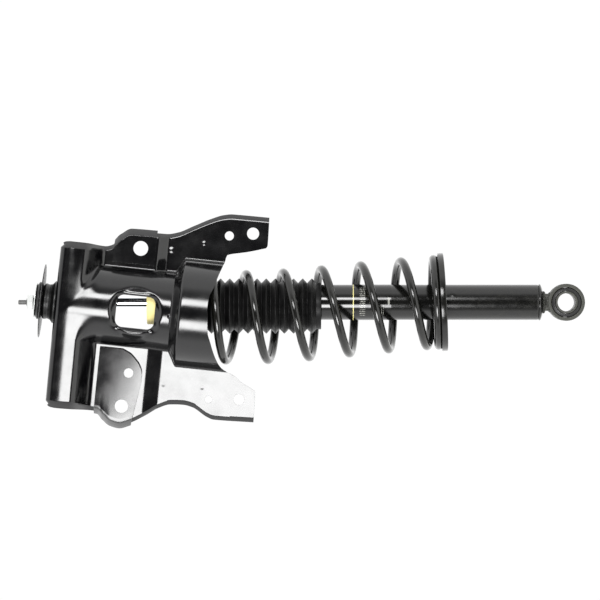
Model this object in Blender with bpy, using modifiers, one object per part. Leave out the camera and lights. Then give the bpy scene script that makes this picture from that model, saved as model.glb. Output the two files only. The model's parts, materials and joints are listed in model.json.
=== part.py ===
"""Rear strut assembly: pressed top bracket, rubber-clamped rod, offset coil spring and eye-ended damper.

The row frame has +Z along the damper rod, towards the top mount, and its origin where the rod's axis
crosses the outer face of the bracket's crown. The bracket leans against the rod by LEAN about Y, so its
pieces hang on an empty whose own Z is square to the crown. -Y is the bracket's outer, bulged side.
"""

import math

import bmesh
import bpy
from mathutils import Vector

# ---- fits and facets ------------------------------------------------------------------------------
GAP = 0.0003                    # between pieces that touch
STEPS = 24                      # facets round a turned piece
RUN = 0.0003                    # radial play of a running fit
PLANE_CUTS = 5                  # cuts across the pressed sheet: each side plane,
FILLET_CUTS = 2                 # each fillet at the bulge's foot,
ARC_CUTS = 14                   # the bulge,
BEND_CUTS = 3                   # each turned edge
LIP_CUTS = 1                    # and the lip behind it
EAR_CUTS = 5                    # rows of the sheet along the ears

# ---- sizes that other pieces follow -----------------------------------------------------------------
ROD_R = 0.007
TUBE_R = 0.0225
WIRE_R = 0.0055
COIL_R = 0.055                  # spring's mean radius
COIL_OUT = COIL_R + WIRE_R

# ---- bracket --------------------------------------------------------------------------------------
LEAN = math.radians(6)          # crown's normal against the rod, towards +X
SHEET = 0.003                   # pressed sheet
BEND = 0.008                    # outer radius of every turned edge
LIP = 0.003                     # straight part of a turned edge behind its bend
TOWER_R = 0.049                 # outer radius of the bulge round the rod
FLARE_R = COIL_OUT + 0.0065     # outer radius of the bulge round the spring's top
BULGE_X = 0.0035                # x of the bulge's centre line
FOOT_R = 0.005                  # fillet between bulge and arms
SHOULDER = (-0.148, -0.158)     # z where the tower widens to the flare
CROWN_BACK = 0.038              # y of the crown's rim behind the rod
CROWN_TAPER = (0.036, 0.064)    # x from the rod where that rim comes forward to a lip
CHANNEL_H = 0.045               # height of the cross channel at the rod
CHANNEL_WALL = (-0.030, -0.057)  # z of the channel's lower wall
CHANNEL_FALL = ((-0.020, math.tan(math.radians(12))), (0.030, math.tan(math.radians(6))))
                                # x where the roof starts to fall and its slope, below and above the rod
EAR_Y = -0.008                  # y of the sheet behind the ear plates
ARM_Y = 0.001                   # y of the sheet at the arms
LOWER_TILT = math.tan(math.radians(12))               # lower arm's fall away from the bulge
JOGGLE_UP = (-0.119, -0.131)    # z where the upper sheet steps from ear to arm
JOGGLE_LOW = (-0.122, -0.141)   # and the lower sheet
POCKET = (0.020, -0.038, 0.045, -0.062)               # the pocket's slanting edge, x z to x z
SHEET_END = -0.266              # z past the arms' ends
CROWN_HOLE_R = 0.0143

# outer edges of the pressed sheet, (z, x), joined by smooth curves
EDGE_UP = [(0, 0.0765), (-0.012, 0.0790), (-0.030, 0.0790), (-0.054, 0.0775), (-0.063, 0.0800),
           (-0.074, 0.0915), (-0.087, 0.1000), (-0.131, 0.1012), (-0.145, 0.1048), (-0.164, 0.1150),
           (-0.185, 0.1263), (-0.200, 0.1326), (-0.212, 0.1348), (SHEET_END, 0.1355)]
EDGE_LOW = [(0, -0.1310), (-0.012, -0.1336), (-0.057, -0.1325), (-0.066, -0.1330), (-0.074, -0.1395),
            (-0.084, -0.1465), (-0.0945, -0.1485), (-0.106, -0.1445), (-0.128, -0.1312), (-0.142, -0.1210),
            (-0.157, -0.1146), (-0.174, -0.1133), (-0.185, -0.1150), (-0.206, -0.1259),
            (-0.214, -0.1281), (SHEET_END, -0.1262)]

# lower rim of the sheet between the arms and round their ends, (x, z)
MOUTH = [(0.140, -0.2580), (0.107, -0.2596), (0.0975, -0.2590), (0.0945, -0.2530), (0.0889, -0.2350),
         (0.0835, -0.2130), (0.0800, -0.2092), (0.0723, -0.2076), (0.0530, -0.2018), (0.0387, -0.1980),
         (0.0275, -0.1940), (0.0120, -0.1930), (0.0004, -0.1946), (-0.0179, -0.1965), (-0.0298, -0.2010),
         (-0.0446, -0.2070), (-0.0578, -0.2146), (-0.0647, -0.2230), (-0.0700, -0.2360),
         (-0.0765, -0.2440), (-0.0840, -0.2595), (-0.0900, -0.2636), (-0.130, -0.2652)]

# window through the tower: centre x z, width x, height z, corner radius
WINDOW = (0.0, -0.102, 0.044, 0.051, 0.010)

# holes through the sheet, name: x, z, radius
ARM_HOLES = {
    "upper_arm_bolt": (0.1130, -0.2397, 0.0077),
    "upper_arm_pilot": (0.1070, -0.2100, 0.00575),
    "lower_arm_bolt": (-0.0989, -0.2437, 0.0070),
    "lower_arm_pilot": (-0.1030, -0.2050, 0.00465),
}
EAR_HOLES = {
    "upper_ear_bolt": (0.0793, -0.1000, 0.00935),
    "lower_ear_bolt": (-0.1228, -0.0962, 0.0085),
    "lower_ear_pilot": (-0.0798, -0.1010, 0.0060),
}
HOLE_STEP = 0.0015              # sheet's hole behind an ear plate is this much wider

# ear plates: z of their upper and lower edge, x of their inner edge
UPPER_EAR = (-0.066, JOGGLE_UP[0], 0.0590)
LOWER_EAR = (CHANNEL_WALL[1], -0.113, -0.0600)

# ---- crown stack, heights along the crown's normal --------------------------------------------------
CROWN_PLATE_T = 0.004
CROWN_PLATE_X = 0.050           # half its width
CROWN_PLATE_Y = 0.030
BUSH_R = 0.023
BUSH_CHAMFER = 0.003
BUSH_FOOT_R = BUSH_R + 0.004
BUSH_FOOT_H = 0.006
SPIGOT_R = CROWN_HOLE_R - 0.0007
BUSH_TOP = 0.0175
SHIELD_R = 0.0468
SHIELD_T = 0.0013
TOP_BUSH_R = BUSH_R + 0.001
TOP_BUSH_H = 0.0066
CUP_T = 0.0015
CUP_R = BUSH_R - 0.0015
LOWER_BUSH_H = 0.0134
LOWER_CUP_R = BUSH_R + 0.002
LOWER_CUP_T = 0.002

# ---- damper, heights along the rod ----------------------------------------------------------------
STUD_R = ROD_R - 0.0012
SPACER_R = STUD_R + 0.0027
TIP_R = 0.0029
STUD_TOP = 0.0375
TIP_TOP = 0.0483
NUT_Z = (0.0291, 0.0369)
NUT_FLATS = 0.018
TUBE_WALL = 0.0018
TUBE_TOP = -0.3248
TUBE_BOTTOM = -0.6128
CRIMP = 0.0022
SEAL_H = 0.0057
GUIDE_H = 0.0157
GUIDE_SPIGOT = 0.006
BORE_R = 0.015                  # pressure tube's bore
BORE_WALL = 0.0015
STOP_H = 0.007                  # rebound stop
STOP_R = BORE_R - 0.003
PISTON_DROP = 0.0085            # piston below the rebound stop
PISTON_H = 0.018
ROD_END_R = 0.005
PISTON_NUT_H = 0.0077
PISTON_NUT_FLATS = 0.015
VALVE_Z = (TUBE_BOTTOM + 0.0245, TUBE_BOTTOM + 0.0143)
CAP_SKIRT = 0.0118              # base cap inside the tube
CAP_LIP_R = TUBE_R + 0.0006
CAP_LIP_H = 0.0022
CAP_DOME_R = 0.016              # flat bottom of the cap
CAP_DOME_H = 0.0054
EYE_Z = TUBE_BOTTOM - 0.0352
EYE_R = 0.0235
EYE_WALL = 0.0045
EYE_HALF = 0.0175
NECK_HALF = 0.011
SLEEVE_R = EYE_R - EYE_WALL - 0.0048
SLEEVE_BORE = SLEEVE_R - 0.0027
SLEEVE_HALF = EYE_HALF + 0.005

# ---- bump stop and bellows -------------------------------------------------------------------------
BUMP_TOP = -0.1156
BUMP_HEAD_R = TOWER_R - 0.021  # stands clear of the tower wall that leans past it
BUMP_HEAD_H = 0.0394
BUMP_NECK_R = 0.0175
BUMP_BODY_R = 0.0215
BUMP_BODY_TOP = -0.1740
BUMP_END = -0.2320
BUMP_BORE = ROD_R + 0.0015
BUMP_RINGS = 3
BUMP_CHAMFER = 0.001
BUMP_STEP = 0.003                # cone between neck and body
BUMP_TAPER = 0.0015             # each ring is this much slimmer
BUMP_GROOVE = 0.0035
BOOT_X = -0.0048                # the bellows hangs off the rod's axis
BOOT_TOP = -0.1760
VALLEY_R = TUBE_R + 0.0071
PEAK_R = VALLEY_R + 0.0054
PITCH = 0.0116
PLEATS = 13
BOOT_WALL = 0.0015
COLLAR_R = VALLEY_R - 0.0006
COLLAR_H = 0.004
CUFF = 0.0060

# ---- spring ---------------------------------------------------------------------------------------
SPRING_LOW = -0.4842            # wire's centre on the lower seat
SPRING_TOP_X = 0.002            # centre of the top coil in the bracket's frame
SPRING_TOP = -0.174
SEAT_LEAN = math.radians(3)     # lower seat against the rod, towards -X
DEAD = 0.75                     # closed turns at each end
ACTIVE = 6.55                   # open turns between them
DEAD_PITCH = 0.0026
RAMP = 0.45                     # part of a turn over which the pitch opens
COIL_POINTS = 24                # points in one turn
SEAT_T = 0.0025
SEAT_RIM = 0.0017
SEAT_R = COIL_OUT + SEAT_RIM + GAP
SEAT_RIM_H = 0.0073
SEAT_COLLAR_H = 0.012
PAD_T = 0.0020
PAD_IN = COIL_R - 0.006
UPPER_SEAT_R = COIL_OUT + 0.001
UPPER_SEAT_T = 0.0025
UPPER_SEAT_RIM = 0.002
UPPER_PAD_T = 0.0030
UPPER_PAD_IN = COIL_R - 0.002
SEAT_HOLE_R = BUMP_NECK_R + 0.003


# ---- scene and materials --------------------------------------------------------------------------
def clear_scene():
    for obj in list(bpy.data.objects):
        bpy.data.objects.remove(obj, do_unlink=True)


def collection(name):
    made = bpy.data.collections.new(name)
    bpy.context.scene.collection.children.link(made)
    return made


def material(name, color, roughness, metallic):
    made = bpy.data.materials.new(name)
    made.use_nodes = True
    shader = made.node_tree.nodes["Principled BSDF"]
    shader.inputs["Base Color"].default_value = (*color, 1)
    shader.inputs["Roughness"].default_value = roughness
    shader.inputs["Metallic"].default_value = metallic
    return made


def place(obj, home, parent=None, finish=None):
    for old in list(obj.users_collection):
        old.objects.unlink(obj)
    home.objects.link(obj)
    obj.parent = parent
    if finish:
        obj.data.materials.append(finish)
    return obj


# ---- shaping tools --------------------------------------------------------------------------------
def smooth_step(value, start, end):
    t = min(1, max(0, (value - start) / (end - start)))
    return t * t * (3 - 2 * t)


def smooth_curve(points, value):
    """Height at value of a curve through points that never overshoots them (points in either order)."""
    pts = sorted(points)
    if value <= pts[0][0]:
        return pts[0][1]
    if value >= pts[-1][0]:
        return pts[-1][1]
    rise = [(b[1] - a[1]) / (b[0] - a[0]) for a, b in zip(pts, pts[1:])]
    slope = [rise[0]]
    for before, after in zip(rise, rise[1:]):
        slope.append(0 if before * after <= 0 else 2 * before * after / (before + after))
    slope.append(rise[-1])
    k = max(i for i in range(len(pts) - 1) if pts[i][0] <= value)
    width = pts[k + 1][0] - pts[k][0]
    t = (value - pts[k][0]) / width
    return ((2 * t**3 - 3 * t**2 + 1) * pts[k][1] + (t**3 - 2 * t**2 + t) * width * slope[k]
            + (3 * t**2 - 2 * t**3) * pts[k + 1][1] + (t**3 - t**2) * width * slope[k + 1])


def turned(name, profile, finish, parent=None, spot=(0, 0, 0), steps=STEPS):
    """A turned piece. A ring's profile runs down its outside and back up its inside."""
    mesh = bpy.data.meshes.new(name)
    ring = all(r > 0 for r, _ in profile)
    count = len(profile)
    edges = [(i, (i + 1) % count) for i in range(count if ring else count - 1)]
    mesh.from_pydata([(r, 0, z) for r, z in profile], edges, [])
    obj = bpy.data.objects.new(name, mesh)
    obj.location = spot
    place(obj, PARTS, parent, finish)
    screw = obj.modifiers.new("turn", "SCREW")
    screw.axis = "Z"
    screw.angle = math.tau
    screw.steps = steps
    screw.render_steps = steps
    screw.use_merge_vertices = True
    screw.merge_threshold = 0.00001
    screw.use_smooth_shade = True
    return obj


def lay_along_y(obj):
    obj.rotation_euler = (math.pi / 2, 0, 0)
    return obj


def ring_profile(outer, inner, top, bottom):
    return [(outer, top), (outer, bottom), (inner, bottom), (inner, top)]


def disc_profile(outer, top, bottom):
    return [(0, top), (outer, top), (outer, bottom), (0, bottom)]


def cut(obj, cutter):
    step = obj.modifiers.new("cut " + cutter.name, "BOOLEAN")
    step.operation = "DIFFERENCE"
    step.object = cutter


def as_cutter(obj, parent=None):
    place(obj, CUTTERS, parent)
    obj.hide_render = True
    obj.display_type = "WIRE"
    return obj


def round_cutter(name, radius, spot, length, axis="Z", parent=None):
    bpy.ops.mesh.primitive_cylinder_add(vertices=STEPS, radius=radius, depth=length, location=spot)
    obj = bpy.context.object
    obj.name = name
    if axis == "Y":
        lay_along_y(obj)
    return as_cutter(obj, parent)


def extruded(name, outline, thickness, middle):
    """A mesh plate with a flat outline of (x, z) points, thick along y about the plane y = middle."""
    curve = bpy.data.curves.new(name, "CURVE")
    curve.dimensions = "2D"
    curve.fill_mode = "BOTH"
    curve.extrude = thickness / 2
    spline = curve.splines.new("POLY")
    spline.points.add(len(outline) - 1)
    for point, (x, z) in zip(spline.points, outline):
        point.co = (x, z, 0, 1)
    spline.use_cyclic_u = True
    drawn = bpy.data.objects.new(name + " outline", curve)
    bpy.context.scene.collection.objects.link(drawn)
    graph = bpy.context.evaluated_depsgraph_get()
    mesh = bpy.data.meshes.new_from_object(drawn.evaluated_get(graph))
    bpy.data.objects.remove(drawn)
    work = bmesh.new()
    work.from_mesh(mesh)
    bmesh.ops.remove_doubles(work, verts=work.verts, dist=0.00001)
    for vert in work.verts:
        vert.co = (vert.co.x, middle - vert.co.z, vert.co.y)
    work.to_mesh(mesh)
    work.free()
    return bpy.data.objects.new(name, mesh)


def rounded_box(width, height, radius, x=0, z=0, segments=4):
    """Corner by corner outline of a box with round corners."""
    points = []
    for corner, (sx, sz) in enumerate([(1, 1), (-1, 1), (-1, -1), (1, -1)]):
        for k in range(segments + 1):
            turn = math.radians(90) * (corner + k / segments)
            points.append((x + sx * (width / 2 - radius) + radius * math.cos(turn),
                           z + sz * (height / 2 - radius) + radius * math.sin(turn)))
    return points


def sheet(name, rows, finish, parent):
    """A pressed sheet whose outer face passes through equal rows of points; a None leaves a gap."""
    wide = len(rows[0])
    work = bmesh.new()
    bmesh.ops.create_grid(work, x_segments=wide - 1, y_segments=len(rows) - 1, size=1)
    work.verts.ensure_lookup_table()
    unused = []
    for vert, point in zip(list(work.verts), [p for row in rows for p in row]):
        if point is None:
            unused.append(vert)
        else:
            vert.co = point
    bmesh.ops.delete(work, geom=unused, context="VERTS")
    bmesh.ops.remove_doubles(work, verts=work.verts, dist=0.00005)
    bmesh.ops.recalc_face_normals(work, faces=work.faces)
    work.normal_update()
    if sum(f.normal.y * f.calc_area() for f in work.faces) > 0:
        bmesh.ops.reverse_faces(work, faces=work.faces)
    mesh = bpy.data.meshes.new(name)
    work.to_mesh(mesh)
    work.free()
    mesh.shade_smooth()
    obj = place(bpy.data.objects.new(name, mesh), PARTS, parent, finish)
    wall = obj.modifiers.new("sheet", "SOLIDIFY")
    wall.thickness = SHEET
    wall.offset = -1
    wall.use_quality_normals = True
    return obj


# ---- bracket --------------------------------------------------------------------------------------
def foot_fillet(radius, height, tilt, side):
    """Centre and turning angles of the fillet between the bulge and the sheet beside it.

    The sheet stands height in front of the rod's plane where it meets the bulge, and falls away from
    it with slope tilt on the given side (+1 or -1). Foot and crest are the fillet's end spokes.
    """
    lean = math.atan(tilt)
    normal = Vector((side * math.sin(lean), -math.cos(lean)))
    along = Vector((side * math.cos(lean), math.sin(lean)))
    rise = height * math.cos(lean) + radius * math.sin(lean) + FOOT_R
    reach = math.sqrt((radius + FOOT_R) ** 2 - rise ** 2)
    centre = normal * rise + along * reach
    foot = -normal
    crest = -centre.normalized()
    return centre, foot, crest


def bulge_section(z):
    """Outer face of the sheet at height z: (x, y, edge angle, depth behind the edge's bend)."""
    radius = TOWER_R + (FLARE_R - TOWER_R) * smooth_step(z, *SHOULDER)
    up_y = EAR_Y + (ARM_Y - EAR_Y) * smooth_step(z, *JOGGLE_UP)
    low_arm_y = ARM_Y - LOWER_TILT * (FLARE_R - radius)   # same plane beside tower and flare
    low_y = EAR_Y + (low_arm_y - EAR_Y) * smooth_step(z, *JOGGLE_LOW)
    up_centre, up_foot, up_crest = foot_fillet(radius, -up_y, 0, 1)
    low_centre, low_foot, low_crest = foot_fillet(radius, -low_y, LOWER_TILT, -1)
    up_edge = smooth_curve(EDGE_UP, z) - BEND
    low_edge = smooth_curve(EDGE_LOW, z) + BEND
    points = []

    start = up_centre + up_foot * FOOT_R
    for k in range(PLANE_CUTS):
        t = k / PLANE_CUTS
        x = up_edge + (start.x + BULGE_X - up_edge) * t
        points.append((x, start.y))
    for k in range(FILLET_CUTS):
        spoke = up_foot.lerp(up_crest, k / FILLET_CUTS).normalized()
        points.append((BULGE_X + up_centre.x + spoke.x * FOOT_R, up_centre.y + spoke.y * FOOT_R))
    first = math.atan2(up_centre.y, up_centre.x)
    last = math.atan2(-low_centre.y, -low_centre.x) - math.pi
    for k in range(ARC_CUTS + 1):
        turn = first + (last - first) * k / ARC_CUTS
        points.append((BULGE_X + radius * math.cos(turn), radius * math.sin(turn)))
    for k in range(1, FILLET_CUTS + 1):
        spoke = low_crest.lerp(low_foot, k / FILLET_CUTS).normalized()
        points.append((BULGE_X + low_centre.x + spoke.x * FOOT_R, low_centre.y + spoke.y * FOOT_R))
    end = low_centre + low_foot * FOOT_R
    end_x = end.x + BULGE_X
    for k in range(1, PLANE_CUTS + 1):
        x = end_x + (low_edge - end_x) * k / PLANE_CUTS
        points.append((x, end.y + LOWER_TILT * (end_x - x)))
    return points


def channel_height(x):
    (low_x, low_slope), (up_x, up_slope) = CHANNEL_FALL
    return CHANNEL_H - low_slope * max(0, low_x - x) - up_slope * max(0, x - up_x)


def pressed_depth(x, y, z):
    """The section's y after the pocket beside the tower and the cross channel are pressed in."""
    x1, z1, x2, z2 = POCKET
    run = math.hypot(x2 - x1, z2 - z1)
    inside = ((x - x1) * (z1 - z2) + (z - z1) * (x2 - x1)) / run
    if inside > 0 and z > z2 - 0.010:
        y = max(y, min(EAR_Y, -CHANNEL_H + 3 * inside))
    raised = min(y, -channel_height(x))
    share = 1 - smooth_step(z, *CHANNEL_WALL)
    return y + (raised - y) * share


def crown_depth(x, y):
    """Depth of the crown behind its bend: up to the rear rim at the rod, a short lip at the ends."""
    share = 1 - smooth_step(abs(x), *CROWN_TAPER)
    return LIP + (CROWN_BACK - (y + BEND + LIP)) * share


def sheet_row(z, crown=0, depth=0):
    """One row of the sheet: crown is the angle turned over the top bend, depth 0..1 goes back to the rim."""
    middle = [(x, pressed_depth(x, y, z), 0.0, 0.0) for x, y in bulge_section(z)]
    (up_x, up_y, _, _), (low_x, low_y, _, _) = middle[0], middle[-1]
    up, low = [], []
    for k in range(LIP_CUTS, 0, -1):
        up.append((up_x, up_y, math.pi / 2, k / LIP_CUTS))
        low.append((low_x, low_y, -math.pi / 2, k / LIP_CUTS))
    for k in range(BEND_CUTS, 0, -1):
        turn = math.pi / 2 * k / BEND_CUTS
        up.append((up_x, up_y, turn, 0.0))
        low.append((low_x, low_y, -turn, 0.0))
    row = []
    for x, y, edge, back in up + middle + low[::-1]:
        if depth and back:
            row.append(None)
            continue
        out = Vector((math.sin(edge), -math.cos(edge) * math.cos(crown), math.sin(crown))).normalized()
        behind = depth * crown_depth(x, y) + back * LIP
        base_z = -BEND if crown else z
        row.append((x + BEND * out.x, y + BEND + BEND * out.y + behind, base_z + BEND * out.z))
    return row


def row_heights():
    wall_top, wall_foot = CHANNEL_WALL
    marks = [-BEND, wall_top, wall_foot, UPPER_EAR[0], LOWER_EAR[1], *JOGGLE_UP, JOGGLE_LOW[1],
             *SHOULDER, SHEET_END]
    pieces = [2, 5, 1, EAR_CUTS, 1, 2, 1, 1, 4, 7]
    heights = []
    for top, foot, count in zip(marks, marks[1:], pieces):
        heights += [top + (foot - top) * k / count for k in range(count)]
    return heights + [SHEET_END]


def sheet_rows():
    rows = [sheet_row(-BEND, math.pi / 2, 1 - k / LIP_CUTS) for k in range(LIP_CUTS)]
    for k in range(BEND_CUTS, 0, -1):
        rows.append(sheet_row(-BEND, math.pi / 2 * k / BEND_CUTS))
    return rows + [sheet_row(z) for z in row_heights()]


def tower_shell(frame, finish):
    shell = sheet("tower_shell", sheet_rows(), finish, frame)
    past = 0.020
    reach = 0.200
    outline = [(reach, MOUTH[0][1]), *MOUTH, (-reach, MOUTH[-1][1]), (-reach, SHEET_END - past),
               (reach, SHEET_END - past)]
    mouth = as_cutter(extruded("mouth_cutter", outline, 0.200, -0.020), frame)
    cut(shell, mouth)
    x, z, width, height, radius = WINDOW
    window_depth = 0.045
    window = extruded("window_cutter", rounded_box(width, height, radius, x, z), window_depth,
                      -TOWER_R + window_depth / 4)
    cut(shell, as_cutter(window, frame))
    cut(shell, round_cutter("crown_cutter", CROWN_HOLE_R, (0, 0, 0), 0.030, parent=frame))
    for name, (x, z, radius) in {**ARM_HOLES, **EAR_HOLES}.items():
        wide = radius + (HOLE_STEP if name in EAR_HOLES else 0)
        y = 0.015 if x < 0 else 0
        cut(shell, round_cutter(name + "_sheet_cutter", wide, (x, y, z), 0.060, "Y", frame))


def ear_plate(name, shape, side, hole_names, frame, finish):
    """A doubler on the sheet's outer face, its outer edge turned back over the sheet's own lip."""
    top, foot, inner_x = shape
    off = SHEET + GAP
    bend = BEND + off
    slope = 0 if side > 0 else LOWER_TILT
    outline = EDGE_UP if side > 0 else EDGE_LOW
    heights = [z for z in row_heights() if top >= z >= foot]
    rows = []
    for k, z in enumerate(heights):
        edge_x, edge_y = bulge_section(z)[0 if side > 0 else -1]
        front = edge_y - off
        before, after = heights[max(0, k - 1)], heights[min(len(heights) - 1, k + 1)]
        slant = (smooth_curve(outline, after) - smooth_curve(outline, before)) / (after - before)
        reach = BEND + off * math.hypot(1, 1.3 * slant)
        row = [(x, front - slope * (x - edge_x) - off * slope * slope, z)
               for x in (inner_x, (inner_x + edge_x) / 2)]
        for step in range(BEND_CUTS + 1):
            turn = math.pi / 2 * step / BEND_CUTS
            row.append((edge_x + side * reach * math.sin(turn), front + bend * (1 - math.cos(turn)), z))
        rows.append(row)
    plate = sheet(name, rows, finish, frame)
    for hole in hole_names:
        x, z, radius = EAR_HOLES[hole]
        cut(plate, round_cutter(hole + "_cutter", radius, (x, 0.010, z), 0.060, "Y", frame))


def crown_stack(frame, steel, rubber, zinc):
    """Doubler, rubbers and washers clamped on the crown, square to it."""
    under = -SHEET - GAP
    outline = rounded_box(2 * CROWN_PLATE_X, 2 * CROWN_PLATE_Y, 0.012)
    plate = extruded("crown_plate", outline, CROWN_PLATE_T, 0)
    plate.rotation_euler = (math.pi / 2, 0, 0)
    plate.location = (0, 0, under - CROWN_PLATE_T / 2)
    place(plate, PARTS, frame, steel)
    cut(plate, round_cutter("plate_cutter", CROWN_HOLE_R, (0, 0, 0), 0.031, parent=frame))

    split = under / 2 - CROWN_PLATE_T / 2
    bore = round_cutter("spacer_cutter", SPACER_R + GAP, (0, 0, 0), 0.120)
    stud = round_cutter("stud_cutter", STUD_R + RUN, (0, 0, 0), 0.120)
    upper = turned("upper_bush", [
        (0, BUSH_TOP), (BUSH_R - BUSH_CHAMFER, BUSH_TOP), (BUSH_R, BUSH_TOP - BUSH_CHAMFER),
        (BUSH_R, BUSH_FOOT_H), (BUSH_FOOT_R, BUSH_FOOT_H / 2), (BUSH_FOOT_R, GAP), (SPIGOT_R, GAP),
        (SPIGOT_R, split + GAP),
        (0, split + GAP)], rubber, frame)
    cut(upper, bore)
    shield_z = BUSH_TOP + GAP
    shield = turned("dust_shield", disc_profile(SHIELD_R, shield_z + SHIELD_T, shield_z), steel, frame)
    cut(shield, bore)
    top_z = shield_z + SHIELD_T + GAP
    top = turned("top_bush", [
        (0, top_z + TOP_BUSH_H), (CUP_R - 0.002, top_z + TOP_BUSH_H), (TOP_BUSH_R, top_z + TOP_BUSH_H / 2),
        (TOP_BUSH_R - 0.001, top_z), (0, top_z)], rubber, frame)
    cut(top, bore)
    cup_z = top_z + TOP_BUSH_H + GAP
    cup = turned("upper_cup_washer", disc_profile(CUP_R, cup_z + CUP_T, cup_z), zinc, frame)
    cut(cup, stud)
    low_z = under - CROWN_PLATE_T - GAP
    lower = turned("lower_bush", [
        (0, split), (SPIGOT_R, split), (SPIGOT_R, low_z), (BUSH_R, low_z),
        (BUSH_R, low_z - LOWER_BUSH_H + BUSH_CHAMFER), (BUSH_R - BUSH_CHAMFER, low_z - LOWER_BUSH_H),
        (0, low_z - LOWER_BUSH_H)], rubber, frame)
    cut(lower, bore)
    low_cup = low_z - LOWER_BUSH_H - GAP
    washer = turned("lower_cup_washer", disc_profile(LOWER_CUP_R, low_cup, low_cup - LOWER_CUP_T), zinc, frame)
    cut(washer, stud)

    tilt_play = SPACER_R * math.tan(LEAN) + GAP
    turned("bush_spacer", ring_profile(SPACER_R, STUD_R + RUN, cup_z - tilt_play, low_cup + tilt_play), zinc)
    return low_cup - LOWER_CUP_T


def upper_seat(frame, steel, rubber):
    """Dish for the spring's top coil, its hole centred on the rod and gripping the bump stop's neck."""
    pad_low = SPRING_TOP + WIRE_R + GAP
    pad_high = pad_low + UPPER_PAD_T
    floor = pad_high + GAP
    rim = floor + UPPER_SEAT_T + UPPER_SEAT_RIM
    wall = UPPER_SEAT_R - UPPER_SEAT_RIM
    seat = turned("upper_spring_seat", [
        (0, floor + UPPER_SEAT_T), (wall, floor + UPPER_SEAT_T), (wall, rim),
        (UPPER_SEAT_R, rim), (UPPER_SEAT_R, floor), (0, floor)], steel, frame, (SPRING_TOP_X, 0, 0))
    cut(seat, round_cutter("seat_cutter", SEAT_HOLE_R, (0, 0, floor), 0.060))
    turned("upper_spring_pad", ring_profile(COIL_OUT, UPPER_PAD_IN, pad_high, pad_low), rubber, frame,
           (SPRING_TOP_X, 0, 0))


# ---- rod and damper -------------------------------------------------------------------------------
def hexagon(name, flats, top, bottom, bore, finish):
    bpy.ops.mesh.primitive_cylinder_add(vertices=6, radius=flats / math.sqrt(3), depth=top - bottom,
                                        location=(0, 0, (top + bottom) / 2))
    nut = bpy.context.object
    nut.name = name
    place(nut, PARTS, None, finish)
    cut(nut, round_cutter(name + "_cutter", bore, (0, 0, (top + bottom) / 2), 0.060))
    return nut


def rod_set(shoulder, chrome, zinc, steel, iron):
    """Rod with what is fixed to it: nut, rebound stop, piston and piston nut."""
    seal_top = TUBE_TOP - CRIMP - GAP
    guide_top = seal_top - SEAL_H - GAP
    guide_low = guide_top - GUIDE_H
    stop_top = guide_low - GUIDE_SPIGOT - 2 * GAP
    piston_top = stop_top - STOP_H - PISTON_DROP
    piston_low = piston_top - PISTON_H
    nut_low = piston_low - GAP - PISTON_NUT_H
    rod_end = nut_low - 0.003
    turned("piston_rod", [
        (0, TIP_TOP), (TIP_R, TIP_TOP), (TIP_R, STUD_TOP), (STUD_R, STUD_TOP - 0.001), (STUD_R, shoulder),
        (ROD_R, shoulder), (ROD_R, piston_top + GAP), (ROD_END_R, piston_top + GAP), (ROD_END_R, rod_end),
        (0, rod_end)], chrome)
    hexagon("rod_nut", NUT_FLATS, NUT_Z[1], NUT_Z[0], STUD_R + RUN, zinc)
    turned("rebound_stop", ring_profile(STOP_R, ROD_R + RUN, stop_top, stop_top - STOP_H), steel)
    turned("piston", ring_profile(BORE_R - RUN, ROD_END_R + RUN, piston_top, piston_low), iron)
    hexagon("piston_nut", PISTON_NUT_FLATS, nut_low + PISTON_NUT_H, nut_low, ROD_END_R + RUN, steel)
    return seal_top, guide_top, guide_low


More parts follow.
